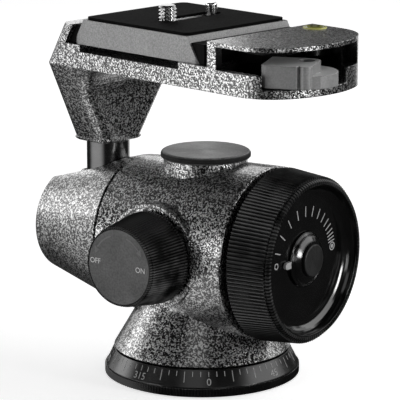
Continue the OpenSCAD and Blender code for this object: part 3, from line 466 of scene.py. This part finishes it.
def brushed_plate():
    """Grey blasted camera plate with faint lines down its sides, and a slot milled bright, its walls
    painted near white as painted light where they lie in shade.
    """
    g = Graph("plate_grey")
    lines = g.noise(1, detail=3, coords=g.stretched((1400, 1400, 120)))
    grain = g.noise(1900, detail=2)
    patch = g.noise(130, detail=3)
    shade = g.mix(0.35, g.shades(patch, 0.25, 0.31), g.shades(lines, 0.20, 0.38))
    shade = g.mix(0.45, shade, g.ramp(grain, [(0.35, 0.14), (0.65, 0.42)]))
    u, v, z = g.platform()
    # Painted light: the slot's walls are coloured near white inside this mask
    slot = g.all_of(
        (u, ">", PLATE_SLOT[0]), (u, "<", PLATE_SLOT[1]),
        (v, ">", PLATE_SLOT[2]), (v, "<", PLATE_SLOT[3]), (z, "<", PLATE_TOP),
    )
    g.colour(g.mix(slot, shade, SLOT_MILLED_AND_PAINTED_LIGHT))
    g.gloss(g.uneven(lines, 0.42, 0.56))
    g.surface(lines, 0.15, 0.03, round_edge=0.25)
    g.set(Metallic=0.35)
    return g.material


# Painted light: colour of the lever's upward faces, almost white against the cover's shade
LEVER_TOP_PAINTED_LIGHT = 0.85


def lever_grey():
    """Grey cast lever with a fine blasted grain, and a top painted almost white: painted light that makes
    up for the shade of the cover over it.
    """
    g = Graph("lever_grey")
    grain = g.noise(1500, detail=3)
    patch = g.noise(150, detail=2)
    shade = g.mix(0.4, g.shades(patch, 0.20, 0.27), g.shades(grain, 0.16, 0.32))
    # Upward faces take the painted light colour, the sides the grey of the lever
    g.colour(g.mix(g.facing("Z", 0.85, 0.95), shade, LEVER_TOP_PAINTED_LIGHT))
    g.gloss(g.uneven(grain, 0.36, 0.52))
    g.surface(grain, 0.25, 0.04, round_edge=0.6)
    g.set(Metallic=0.1)
    return g.material


def pad_rubber():
    """Black rubber pad with a close pebbled grain."""
    g = Graph("pad_rubber")
    pebble = g.noise(1400, detail=3, roughness=0.6)
    patch = g.noise(90, detail=2)
    g.colour(g.shades(patch, 0.002, 0.005))
    g.gloss(g.uneven(pebble, 0.70, 0.85))
    g.surface(pebble, 0.40, 0.08, round_edge=0.2)
    g.set(Specular_IOR_Level=0.04)
    return g.material


# Radii in the level in mm, with the colour there: bubble, its dark edge, fluid and wall
LEVEL_RINGS = (
    (0.9, (0.62, 0.62, 0.36)), (1.1, (0.10, 0.11, 0.01)), (1.7, (0.12, 0.13, 0.01)),
    (1.9, (0.60, 0.62, 0.14)), (2.6, (0.66, 0.67, 0.18)), (2.9, (0.20, 0.21, 0.03)),
)
LEVEL_R = 3.0


def level_fluid():
    """Yellow-green fluid and its bubble under the clear dome of the level."""
    g = Graph("level_fluid")
    swirl = g.noise(500, detail=2)
    centre = middle("level_vial")
    x, y = g.placed((centre.x, centre.y, 0), 0, LEVEL_R)[:2]
    radius = g.math("SQRT", g.squares(x, y))
    rings = g.ramp(radius, [(r / LEVEL_R, colour) for r, colour in LEVEL_RINGS])
    g.colour(g.mix(1.0, rings, g.shades(swirl, 0.85, 1.0), "MULTIPLY"))
    g.gloss(g.uneven(swirl, 0.06, 0.12))
    g.surface(swirl, 0.04, 0.02)
    g.set(Specular_IOR_Level=0.2, Coat_Weight=0.3, Coat_Roughness=0.03)
    return g.material


def polymer():
    """Natural bearing plastic."""
    g = Graph("polymer")
    grain = g.noise(700, detail=2)
    g.colour(g.shades(grain, (0.60, 0.57, 0.48), (0.68, 0.65, 0.56)))
    g.gloss(g.uneven(grain, 0.38, 0.5))
    g.surface(grain, 0.1, 0.03)
    return g.material


HAMMER = hammer_paint("hammer_paint")
# Hammer paint with shadow painted into the hollow of the lever housing
HAMMER_PAINTED_SHADOW = hammer_paint("hammer_painted_shadow", lever_room)
RING = black_ring()
PAN_KNOB = knob_black("knob_black", "X", 96, 0.10, 0.18)
TILT_KNOB = knob_black("tilt_black", "Y", 140, 0.05, 0.28)
GLOSS = gloss_black("gloss_black", 0.3)
GLOSS_HUB = gloss_black("gloss_hub", 1.2)
CAP_TOP = satin_cap("satin_cap", "Z", 0.5, 0.21)
CAP_FRONT = satin_cap("satin_face", "Y", 0.1, 0.05)
CAP_SIDE = satin_cap("satin_hub", "X", 0.2, 0.02)
MARK = pale_mark("pale_mark", 0.29, 0.37)
LETTER = pale_mark("letter_mark", 0.60, 0.72)
FAINT = pale_mark("faint_mark", 0.10, 0.13)
STEEL = machined("steel", 0.42, 0.50, 0.30)
BRASS = machined("brass", (0.55, 0.38, 0.15), (0.65, 0.46, 0.20), 0.28)
BLACK_METAL = machined("black_metal", 0.001, 0.003, 0.50, metallic=0.0, specular=0.04)
CHROME = polished_steel("chrome", 0.82, 0.90)
SCREW = polished_steel("screw_steel", 0.44, 0.52)
# Chrome of the stem, coloured dark as painted shade for the dark that it mirrors
STEM_PAINTED_SHADE = polished_steel("stem_chrome_painted_shade", 0.15, 0.20)
PLATE = brushed_plate()
LEVER = lever_grey()
PAD = pad_rubber()
FLUID = level_fluid()
OLIVE = machined("level_olive", (0.56, 0.56, 0.12), (0.70, 0.70, 0.20), 0.30, metallic=0.0)
POLYMER = polymer()

FINISH = {
    HAMMER: ["body_casting", "ball_housing"],
    HAMMER_PAINTED_SHADOW: ["bracket"],
    RING: ["base_ring"],
    PAN_KNOB: ["pan_knob"],
    TILT_KNOB: ["tilt_knob"],
    GLOSS: ["tilt_dial"],
    GLOSS_HUB: ["tilt_hub"],
    CAP_TOP: ["top_cap"],
    CAP_FRONT: ["pan_knob_face"],
    CAP_SIDE: ["hub_cap"],
    MARK: ["tilt_pointer"],
    STEEL: [
        "pan_spindle", "pan_disc", "pan_nut", "housing_ring", "pan_screw", "tilt_bearing",
        "thrust_pins", "spring_stack", "foot_insert", "jaw_spring",
    ],
    BRASS: ["pan_bush", "pan_plunger", "pan_shoe", "thrust_ring"],
    BLACK_METAL: ["fixed_jaw", "moving_jaw", "pin_bush", "lever_pin", "pressure_plate", "push_rod"],
    CHROME: ["video_pin"],
    SCREW: ["camera_screw"],
    STEM_PAINTED_SHADE: ["ball_stem"],
    PLATE: ["camera_plate"],
    LEVER: ["qr_lever"],
    PAD: ["plate_pad"],
    FLUID: ["level_vial"],
    OLIVE: ["level_bezel"],
    POLYMER: ["pan_washer", "clamp_cup", "ball_seat", "screw_washer"],
}
for material, names in FINISH.items():
    for name in names:
        mesh = nodes[name].data
        mesh.materials.clear()
        mesh.materials.append(material)


# Printed marks

LETTER_STEPS = 4

# Distance within which points are welded, in mm
WELD = 0.002


class Marks:
    """Thin raised marks, drawn in the flat as [right, up] in mm and laid on a face by a function."""

    def __init__(self):
        self.points = []
        self.faces = []

    def add(self, place, points, faces):
        start = len(self.points)
        self.points += [place(*p) for p in points]
        self.faces += [[start + i for i in face] for face in faces]

    def slab(self, place, outline):
        """Extrudes a closed outline, listed counter-clockwise."""
        n = len(outline)
        points = [(x, y, -MARK_SINK) for x, y in outline] + [(x, y, MARK_RISE) for x, y in outline]
        sides = [[i, (i + 1) % n, n + (i + 1) % n, n + i] for i in range(n)]
        self.add(place, points, sides + [list(range(n - 1, -1, -1)), list(range(n, 2 * n))])

    def bar(self, place, x0, x1, y0, y1):
        self.slab(place, [(x0, y0), (x1, y0), (x1, y1), (x0, y1)])

    def arc(self, place, radius, width, start, end, steps):
        """Band along an arc, with angles in degrees from the right, counter-clockwise."""
        angles = [math.radians(start + (end - start) * i / steps) for i in range(steps + 1)]
        closed = abs(abs(end - start) - 360) < 1e-6
        rows = angles[:-1] if closed else angles
        points = []
        for a in rows:
            for r, h in ((-1, -1), (1, -1), (1, 1), (-1, 1)):
                q = radius + r * width / 2
                points.append((q * math.cos(a), q * math.sin(a), MARK_RISE if h > 0 else -MARK_SINK))
        n = len(rows)
        faces = []
        for i in range(n if closed else n - 1):
            a, b = 4 * i, 4 * ((i + 1) % n)
            faces += [[a + k, a + (k + 1) % 4, b + (k + 1) % 4, b + k] for k in range(4)]
        if not closed:
            faces += [[3, 2, 1, 0], [4 * n - 4, 4 * n - 3, 4 * n - 2, 4 * n - 1]]
        self.add(place, points, faces)

    def text(self, place, words, height):
        """Letters of the built-in font, centred, with the given height in mm."""
        curve = bpy.data.curves.new("letters", "FONT")
        curve.body = words
        curve.align_x = "CENTER"
        curve.extrude = 0.5
        curve.resolution_u = LETTER_STEPS
        letters = new_object("letters", curve)
        mesh = evaluated_mesh(letters)
        low = min(v.co.y for v in mesh.vertices)
        high = max(v.co.y for v in mesh.vertices)
        scale = height / (high - low)
        points = [
            (v.co.x * scale, (v.co.y - (low + high) / 2) * scale, MARK_RISE if v.co.z > 0 else -MARK_SINK)
            for v in mesh.vertices
        ]
        self.add(place, points, [list(p.vertices) for p in mesh.polygons])
        bpy.data.objects.remove(letters)
        bpy.data.curves.remove(curve)
        bpy.data.meshes.remove(mesh)

    def build(self, name, body, material):
        mesh = mesh_from_mm(name, self.points, self.faces)
        tidy_mesh(mesh)
        add_piece(name, mesh, body, material)


def mesh_from_mm(name, points, faces):
    mesh = bpy.data.meshes.new(name)
    mesh.from_pydata([Vector(p) * MM for p in points], [], faces)
    return mesh


def tidy_mesh(mesh):
    """Welds doubled points and turns the faces outwards."""
    work = bmesh.new()
    work.from_mesh(mesh)
    bmesh.ops.remove_doubles(work, verts=work.verts, dist=WELD * MM)
    bmesh.ops.recalc_face_normals(work, faces=work.faces)
    work.to_mesh(mesh)
    work.free()


def add_piece(name, mesh, body, material):
    piece = new_object(name, mesh)
    mesh.materials.append(material)
    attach(piece, body)
    return piece


# Pan scale on the cone of the base

SCALE_ZERO = -49.2
SCALE_STEP = 5
LONG_EVERY = 15
NUMBER_EVERY = 45
TICK_WIDTH = 0.26
TICK_FROM = 0.7
TICK_SHORT = 1.8
TICK_LONG = 3.9
NUMBER_DOWN = 4.35
NUMBER_HEIGHT = 2.5
CONE_TOP_R = 31.6
CONE_LOW_R = 34.5
BAND_H = 3.6


def on_cone(turn):
    """Lays [right, up] from the cone's upper edge at an angle, following the cone."""
    top = highest("base_ring").z
    rise = top - BAND_H
    run = CONE_LOW_R - CONE_TOP_R
    slope = math.hypot(rise, run)

    def place(x, y, h):
        radius = CONE_TOP_R - y * run / slope + h * rise / slope
        z = top + y * rise / slope + h * run / slope
        a = math.radians(turn) + x / (CONE_TOP_R - y * run / slope)
        return (radius * math.cos(a), radius * math.sin(a), z)

    return place


def pan_scale():
    marks = Marks()
    for value in range(0, 360, SCALE_STEP):
        place = on_cone(SCALE_ZERO + value)
        numbered = value % NUMBER_EVERY == 0
        length = TICK_LONG if value % LONG_EVERY == 0 and not numbered else TICK_SHORT
        marks.bar(place, -TICK_WIDTH / 2, TICK_WIDTH / 2, -TICK_FROM - length, -TICK_FROM)
        if numbered:
            def below(x, y, h, place=place):
                return place(x, y - NUMBER_DOWN, h)
            marks.text(below, str(value), NUMBER_HEIGHT)
    marks.build("pan_scale", "base", MARK)


# Marks on the tilt dial, with angles from the -Y side over the top

DIAL_TICKS = (17, 37, 57, 75, 91.5, 106.5, 120, 131.5, 141.5, 149, 155.5, 160.5, 165, 169)
DIAL_TICK_IN = 14.9
DIAL_TICK_OUT = 18.6
DIAL_FIRST_IN = 15.4
DIAL_TICK_WIDTH = 0.42
DIAL_SHEET = 1.6

# Rings on the dial: right, up, radius and width in mm, and steps
DIAL_RINGS = ((-17.0, 0.7, 0.95, 0.42, 32), (17.0, 1.3, 1.35, 0.40, 40), (17.0, 1.3, 0.40, 0.70, 24))


def dial_marks():
    face = lowest("tilt_dial").x + DIAL_SHEET
    centre = middle("tilt_dial")

    def at(right, up):
        def place(x, y, h):
            return (face + h, centre.y + right + x, centre.z + up + y)
        return place

    def spoke(angle):
        a = math.radians(180 - angle)

        def place(x, y, h):
            return (
                face + h,
                centre.y + y * math.cos(a) + x * math.sin(a),
                centre.z + y * math.sin(a) - x * math.cos(a),
            )
        return place

    marks = Marks()
    for i, angle in enumerate(DIAL_TICKS):
        inner = DIAL_TICK_IN if i else DIAL_FIRST_IN
        marks.bar(spoke(angle), -DIAL_TICK_WIDTH / 2, DIAL_TICK_WIDTH / 2, inner, DIAL_TICK_OUT)
    for right, up, radius, width, steps in DIAL_RINGS:
        marks.arc(at(right, up), radius, width, 0, 360, steps)
    marks.build("dial_marks", "tilt_lock", MARK)


# Marks on the face of the pan knob

FACE_ARC_R = 11.0
FACE_ARC_WIDTH = 0.5
OFF_AT = (-10.3, 1.0)
ON_AT = (9.3, 0.3)
FACE_LETTER = 1.85
ARROW_HALF = 1.1
ARROW_TURN = 12

# Arcs of the arrows: from and to in degrees, with the way that the head at their start points
FACE_ARCS = ((150, 108, 1), (38, 72, -1))
FACE_ARC_STEPS = 14


def on_pan_face(right, up):
    face = lowest("pan_knob_face").y
    centre = middle("pan_knob_face")

    def place(x, y, h):
        return (centre.x + right + x, face - h, centre.z + up + y)

    return place


def arrow(marks, angle, direction):
    """Head at the start of an arc, pointing away from it."""
    a = math.radians(angle)
    tip = math.radians(angle + direction * ARROW_TURN)
    r = FACE_ARC_R
    points = [
        ((r + ARROW_HALF) * math.cos(a), (r + ARROW_HALF) * math.sin(a)),
        ((r - ARROW_HALF) * math.cos(a), (r - ARROW_HALF) * math.sin(a)),
        (r * math.cos(tip), r * math.sin(tip)),
    ]
    marks.slab(on_pan_face(0, 0), points if direction < 0 else points[::-1])


def pan_face_marks():
    words = Marks()
    words.text(on_pan_face(*OFF_AT), "OFF", FACE_LETTER)
    words.text(on_pan_face(*ON_AT), "ON", FACE_LETTER)
    words.build("pan_face_words", "pan_lock", LETTER)
    arrows = Marks()
    for start, end, direction in FACE_ARCS:
        arrows.arc(on_pan_face(0, 0), FACE_ARC_R, FACE_ARC_WIDTH, start, end, FACE_ARC_STEPS)
        arrow(arrows, start - direction, direction)
    arrows.build("pan_face_arrows", "pan_lock", FAINT)


# Camera screw with its thread, in mm: the neck ends and the thread starts below the top of the pad

SCREW_R = 3.175
SCREW_PITCH = 1.27
THREAD_DEPTH = 0.62
THREAD_TAPER = 0.7
THREAD_BELOW = 0.3
THREAD_ROWS = 10
CREST_HALF = 0.1
SCREW_SIDES = 48
HEAD_H = 3.2
HEAD_EDGE = 0.5
HEAD_SLOT = (1.6, 2.4)
NECK_LESS = 0.9
NECK_BELOW = 0.4
SHARP_FROM = 35


def lathe(rows, sides, centre):
    """Closed mesh through rows of (radius at an angle, z); the first and last row close on the axis."""
    points = [(centre.x, centre.y, rows[0][1])]
    for radius, z in rows:
        for i in range(sides):
            a = 2 * math.pi * i / sides
            r = radius(a) if callable(radius) else radius
            points.append((centre.x + r * math.cos(a), centre.y + r * math.sin(a), z))
    points.append((centre.x, centre.y, rows[-1][1]))
    faces = [[0, 1 + (i + 1) % sides, 1 + i] for i in range(sides)]
    for k in range(len(rows) - 1):
        a, b = 1 + k * sides, 1 + (k + 1) * sides
        for i in range(sides):
            j = (i + 1) % sides
            faces.append([a + i, a + j, b + j, b + i])
    last = 1 + (len(rows) - 1) * sides
    faces += [[last + i, last + (i + 1) % sides, len(points) - 1] for i in range(sides)]
    return points, faces


def thread_rows(z0, z1, radius, pitch, depth, taper):
    """Rows of a helical thread from z0 to z1, with its crests cut down over the taper at the top."""
    steps = int((z1 - z0) / pitch * THREAD_ROWS)

    def at(z):
        def shape(a):
            phase = (z / pitch - a / (2 * math.pi)) % 1.0
            crest = min(1.0, (0.5 - abs(phase - 0.5)) / (0.5 - CREST_HALF))
            limit = radius if z < z1 - taper else radius - (z - z1 + taper)
            return min(limit, radius - depth * (1.0 - crest))
        return shape

    return [(at(z0 + (z1 - z0) * i / steps), z0 + (z1 - z0) * i / steps) for i in range(steps + 1)]


def camera_screw():
    low, high = lowest("camera_screw"), highest("camera_screw")
    centre = middle("camera_screw")
    head_r = (high.x - low.x) / 2
    neck = SCREW_R - NECK_LESS / 2
    pad_top = highest("plate_pad").z
    rows = [
        (head_r - HEAD_EDGE, low.z), (head_r, low.z + HEAD_EDGE), (head_r, low.z + HEAD_H),
        (neck, low.z + HEAD_H), (neck, pad_top - NECK_BELOW),
    ]
    rows += thread_rows(pad_top - THREAD_BELOW, high.z, SCREW_R, SCREW_PITCH, THREAD_DEPTH, THREAD_TAPER)
    mesh = mesh_from_mm("camera_screw_threaded", *lathe(rows, SCREW_SIDES, centre))
    mesh = cut_slot(mesh, centre, low.z, head_r)
    tidy_mesh(mesh)
    mesh.shade_smooth()
    mesh.set_sharp_from_angle(angle=math.radians(SHARP_FROM))
    piece = add_piece("camera_screw_threaded", mesh, "screw", SCREW)
    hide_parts("camera_screw")


def cut_slot(mesh, centre, z, head_r):
    """Cuts the coin slot across the underside of the head."""
    cutter_mesh = bpy.data.meshes.new("slot_cutter")
    work = bmesh.new()
    bmesh.ops.create_cube(work, size=1)
    work.to_mesh(cutter_mesh)
    work.free()
    size = Matrix.Diagonal((2 * head_r + 1, HEAD_SLOT[0], HEAD_SLOT[1], 1))
    place = Matrix.Translation((centre.x, centre.y, z))
    turn = Matrix.Rotation(math.radians(PLATFORM_TURN), 4, "Z")
    cutter_mesh.transform(Matrix.Scale(MM, 4) @ place @ turn @ size)
    body = new_object("slot_body", mesh)
    cutter = new_object("slot_cutter", cutter_mesh)
    cut = body.modifiers.new("slot", "BOOLEAN")
    cut.operation = "DIFFERENCE"
    cut.solver = "EXACT"
    cut.object = cutter
    result = evaluated_mesh(body)
    for item in (body, cutter):
        bpy.data.objects.remove(item)
    return result


# Thread in the tripod socket, in mm: it stays clear of both ends, where it rises over part of a turn. The
# ridge is as broad as a share of the pitch and sinks a little into the wall.

SOCKET_PITCH = 1.5875
SOCKET_R = 4.7625
SOCKET_DEPTH = 12
SOCKET_THREAD = 0.75
SOCKET_SIDES = 40
SOCKET_CLEAR = 0.8
SOCKET_RISE = 0.5
RIDGE_SHARE = 0.84
RIDGE_SINK = 0.1


def socket_thread():
    """Helical ridge that lines the socket in the foot of the spindle."""
    sides = SOCKET_SIDES
    turns = (SOCKET_DEPTH - 2 * SOCKET_CLEAR) / SOCKET_PITCH
    steps = int(turns * sides)
    half = RIDGE_SHARE / 2 * SOCKET_PITCH
    wall = SOCKET_R + RIDGE_SINK
    points = []
    for i in range(steps + 1):
        a = 2 * math.pi * i / sides
        z = SOCKET_CLEAR + SOCKET_PITCH * i / sides
        ease = min(1.0, i / sides / SOCKET_RISE, (steps - i) / sides / SOCKET_RISE)
        crest = SOCKET_R - SOCKET_THREAD * ease
        for r, dz in ((wall, -half), (wall, half), (crest, 0.0)):
            points.append((r * math.cos(a), r * math.sin(a), z + dz))
    faces = [[0, 1, 2], [3 * steps + 2, 3 * steps + 1, 3 * steps]]
    for i in range(steps):
        a, b = 3 * i, 3 * i + 3
        faces += [[a + k, a + (k + 1) % 3, b + (k + 1) % 3, b + k] for k in range(3)]
    mesh = mesh_from_mm("socket_thread", points, faces)
    tidy_mesh(mesh)
    add_piece("socket_thread", mesh, "base", STEEL)


# Ring on the level, which follows its dome, in mm

DOME_R = 2.9
DOME_DROP = 0.1
LEVEL_RING_R = 1.55
LEVEL_RING_WIDTH = 0.28


def level_marks():
    centre = middle("level_vial")
    top = highest("level_vial").z

    def place(x, y, h):
        drop = DOME_DROP * min(1.0, math.hypot(x, y) / DOME_R)
        return (centre.x + x, centre.y + y, top - drop + h)

    ring = Marks()
    ring.arc(place, LEVEL_RING_R, LEVEL_RING_WIDTH, 0, 360, 40)
    ring.build("level_ring", "platform", BLACK_METAL)


pan_scale()
dial_marks()
pan_face_marks()
camera_screw()
socket_thread()
level_marks()


# Stage: floor, light and camera

# Floor: its side, and from where to where its own light takes over from the lamps', in metres; then that
# light near the object, and the floor's colour
FLOOR_SIZE = 8.0
FLOOR_NEAR = 0.30
FLOOR_FAR = 1.1
FLOOR_GLOW = 0.64
FLOOR_COLOUR = 0.88

# What mirrors see beside the white fields
STUDIO_DIM = 0.03

# Level directions from the object: towards the camera, and to the left as the camera sees it
TOWARDS = Vector((CAMERA_AT[0], CAMERA_AT[1], 0)).normalized()
LEFT = Vector((TOWARDS.y, -TOWARDS.x, 0))

# Fields where mirrors see white: middle of the field, half of its width, and half of it with its soft edge,
# in degrees to the left of the camera as seen from the object
WHITE_FLOOR = ((70, 16, 48), (-168, 5, 34))
WHITE_BACKDROP = ((140, 8, 42),)

# Height where the white of the backdrop starts to fade, and where it has gone, in degrees
WHITE_FADE = (32, 62)


def around(turn):
    """Level direction at an angle to the left of the camera, in degrees."""
    a = math.radians(turn)
    return TOWARDS * math.cos(a) + LEFT * math.sin(a)


def seen_directly(tree, direction, fields):
    """How much of the stage's own light a ray sees: all from the camera, white fields in a dim studio from
    mirrors and glass, and none from matte surfaces. Also how much of a lit surface a ray sees."""
    path = tree.nodes.new("ShaderNodeLightPath").outputs
    level = vector_node(tree, "MULTIPLY", direction, (1, 1, 0))
    level = vector_node(tree, "NORMALIZE", level.outputs["Vector"])
    studio = STUDIO_DIM
    for turn, full, none in fields:
        facing = vector_node(tree, "DOT_PRODUCT", level.outputs["Vector"], around(turn))
        inner, outer = math.cos(math.radians(full)), math.cos(math.radians(none))
        field = eased(tree, facing.outputs["Value"], outer, inner, STUDIO_DIM, 1.0)
        studio = math_node(tree, "MAXIMUM", field, studio)
    unit = vector_node(tree, "NORMALIZE", direction)
    up = vector_node(tree, "DOT_PRODUCT", unit.outputs["Vector"], (0, 0, 1))
    low, high = (math.sin(math.radians(rise)) for rise in WHITE_FADE)
    kept = eased(tree, up.outputs["Value"], low, high, 1.0, STUDIO_DIM)
    studio = math_node(tree, "MULTIPLY", studio, kept)
    mirror = math_node(tree, "MAXIMUM", path["Is Glossy Ray"], path["Is Transmission Ray"])
    mirrored = math_node(tree, "MULTIPLY", mirror, studio)
    shown = math_node(tree, "MAXIMUM", path["Is Camera Ray"], mirrored)
    shaded = math_node(tree, "MULTIPLY", mirror, math_node(tree, "SUBTRACT", 1.0, studio))
    return shown, math_node(tree, "SUBTRACT", 1.0, shaded)


def eased(tree, value, start, end, low, high):
    return range_node(tree, value, start, end, low, high, "SMOOTHSTEP")


def floor():
    """White plane that runs over into the backdrop."""
    mesh = bpy.data.meshes.new("floor")
    half = FLOOR_SIZE / 2
    corners = [(-half, -half, 0), (half, -half, 0), (half, half, 0), (-half, half, 0)]
    mesh.from_pydata(corners, [], [[0, 1, 2, 3]])
    plane = new_object("floor", mesh)
    material = bpy.data.materials.new("floor_white")
    material.use_nodes = True
    tree = material.node_tree
    tree.nodes.clear()
    coords = tree.nodes.new("ShaderNodeTexCoord").outputs["Object"]
    length = vector_node(tree, "LENGTH", coords)
    away = eased(tree, length.outputs["Value"], FLOOR_NEAR, FLOOR_FAR, 0.0, 1.0)
    glow_level = eased(tree, length.outputs["Value"], FLOOR_NEAR, FLOOR_FAR, FLOOR_GLOW, 1.0)
    shown, lit = seen_directly(tree, coords, WHITE_FLOOR)
    matte = tree.nodes.new("ShaderNodeBsdfDiffuse")
    tree.links.new(math_node(tree, "MULTIPLY", lit, FLOOR_COLOUR), matte.inputs["Color"])
    dark = tree.nodes.new("ShaderNodeBsdfDiffuse")
    dark.inputs["Color"].default_value = grey(0.0)
    blend = tree.nodes.new("ShaderNodeMixShader")
    tree.links.new(away, blend.inputs[0])
    tree.links.new(matte.outputs[0], blend.inputs[1])
    tree.links.new(dark.outputs[0], blend.inputs[2])
    glow = tree.nodes.new("ShaderNodeEmission")
    tree.links.new(math_node(tree, "MULTIPLY", glow_level, shown), glow.inputs["Strength"])
    both = tree.nodes.new("ShaderNodeAddShader")
    tree.links.new(blend.outputs[0], both.inputs[0])
    tree.links.new(glow.outputs[0], both.inputs[1])
    output = tree.nodes.new("ShaderNodeOutputMaterial")
    tree.links.new(both.outputs[0], output.inputs["Surface"])
    mesh.materials.append(material)


AMBIENT = 0.06


def world():
    """The backdrop, and an even light from all sides for matte surfaces."""
    sky = bpy.data.worlds.new("studio")
    bpy.context.scene.world = sky
    sky.use_nodes = True
    tree = sky.node_tree
    tree.nodes.clear()
    direction = tree.nodes.new("ShaderNodeTexCoord").outputs["Generated"]
    diffuse = tree.nodes.new("ShaderNodeLightPath").outputs["Is Diffuse Ray"]
    matte = math_node(tree, "MULTIPLY", diffuse, AMBIENT)
    strength = math_node(tree, "ADD", seen_directly(tree, direction, WHITE_BACKDROP)[0], matte)
    background = tree.nodes.new("ShaderNodeBackground")
    tree.links.new(strength, background.inputs["Strength"])
    output = tree.nodes.new("ShaderNodeOutputWorld")
    tree.links.new(background.outputs[0], output.inputs["Surface"])


AIM = Vector((0.0, 0.0, 0.065))
LAMP_AWAY = 0.9

# Soft boxes: name, degrees to the left of the camera, degrees up, sides in metres, power in watts
LAMPS = (
    ("front_left", 60, 6, (0.34, 0.34), 1.9),
    ("left", 79, -1, (0.16, 0.12), 0.6),
    ("left_low", 114, 6, (0.34, 0.34), 0.5),
    ("left_high", 110, 22, (0.45, 0.45), 0.95),
    ("front_high", 10, 36, (0.45, 0.45), 0.4),
    ("front_right", -22, 4, (0.30, 0.30), 0.8),
    ("rear_left", 167, 23, (0.45, 0.45), 0.8),
    ("rear_right", -142, 26, (0.80, 0.60), 1.6),
    ("right", -60, 6, (0.18, 0.24), 2.3),
    ("side_right", -88, 28, (0.85, 0.65), 3.3),
)


def lamp(name, turn, rise, size, power):
    """Soft box that is aimed at the object and not seen by the camera."""
    light = bpy.data.lights.new(name, "AREA")
    light.shape = "RECTANGLE"
    light.size, light.size_y = size
    light.energy = power
    item = new_object(name, light)
    up = math.radians(rise)
    item.location = AIM + (around(turn) * math.cos(up) + Vector((0, 0, math.sin(up)))) * LAMP_AWAY
    item.rotation_euler = (AIM - item.location).to_track_quat("-Z", "Y").to_euler()
    item.visible_camera = False


def camera():
    lens = bpy.data.cameras.new("camera")
    lens.lens = CAMERA_LENS
    lens.sensor_width = SENSOR
    lens.sensor_fit = "HORIZONTAL"
    lens.clip_start, lens.clip_end = CAMERA_CLIP
    item = new_object("camera", lens)
    item.location = CAMERA_AT
    item.rotation_euler = (math.radians(CAMERA_TILT), 0, math.radians(CAMERA_TURN))
    bpy.context.scene.camera = item


floor()
world()
for row in LAMPS:
    lamp(*row)
camera()
bpy.context.scene.view_settings.view_transform = "Standard"
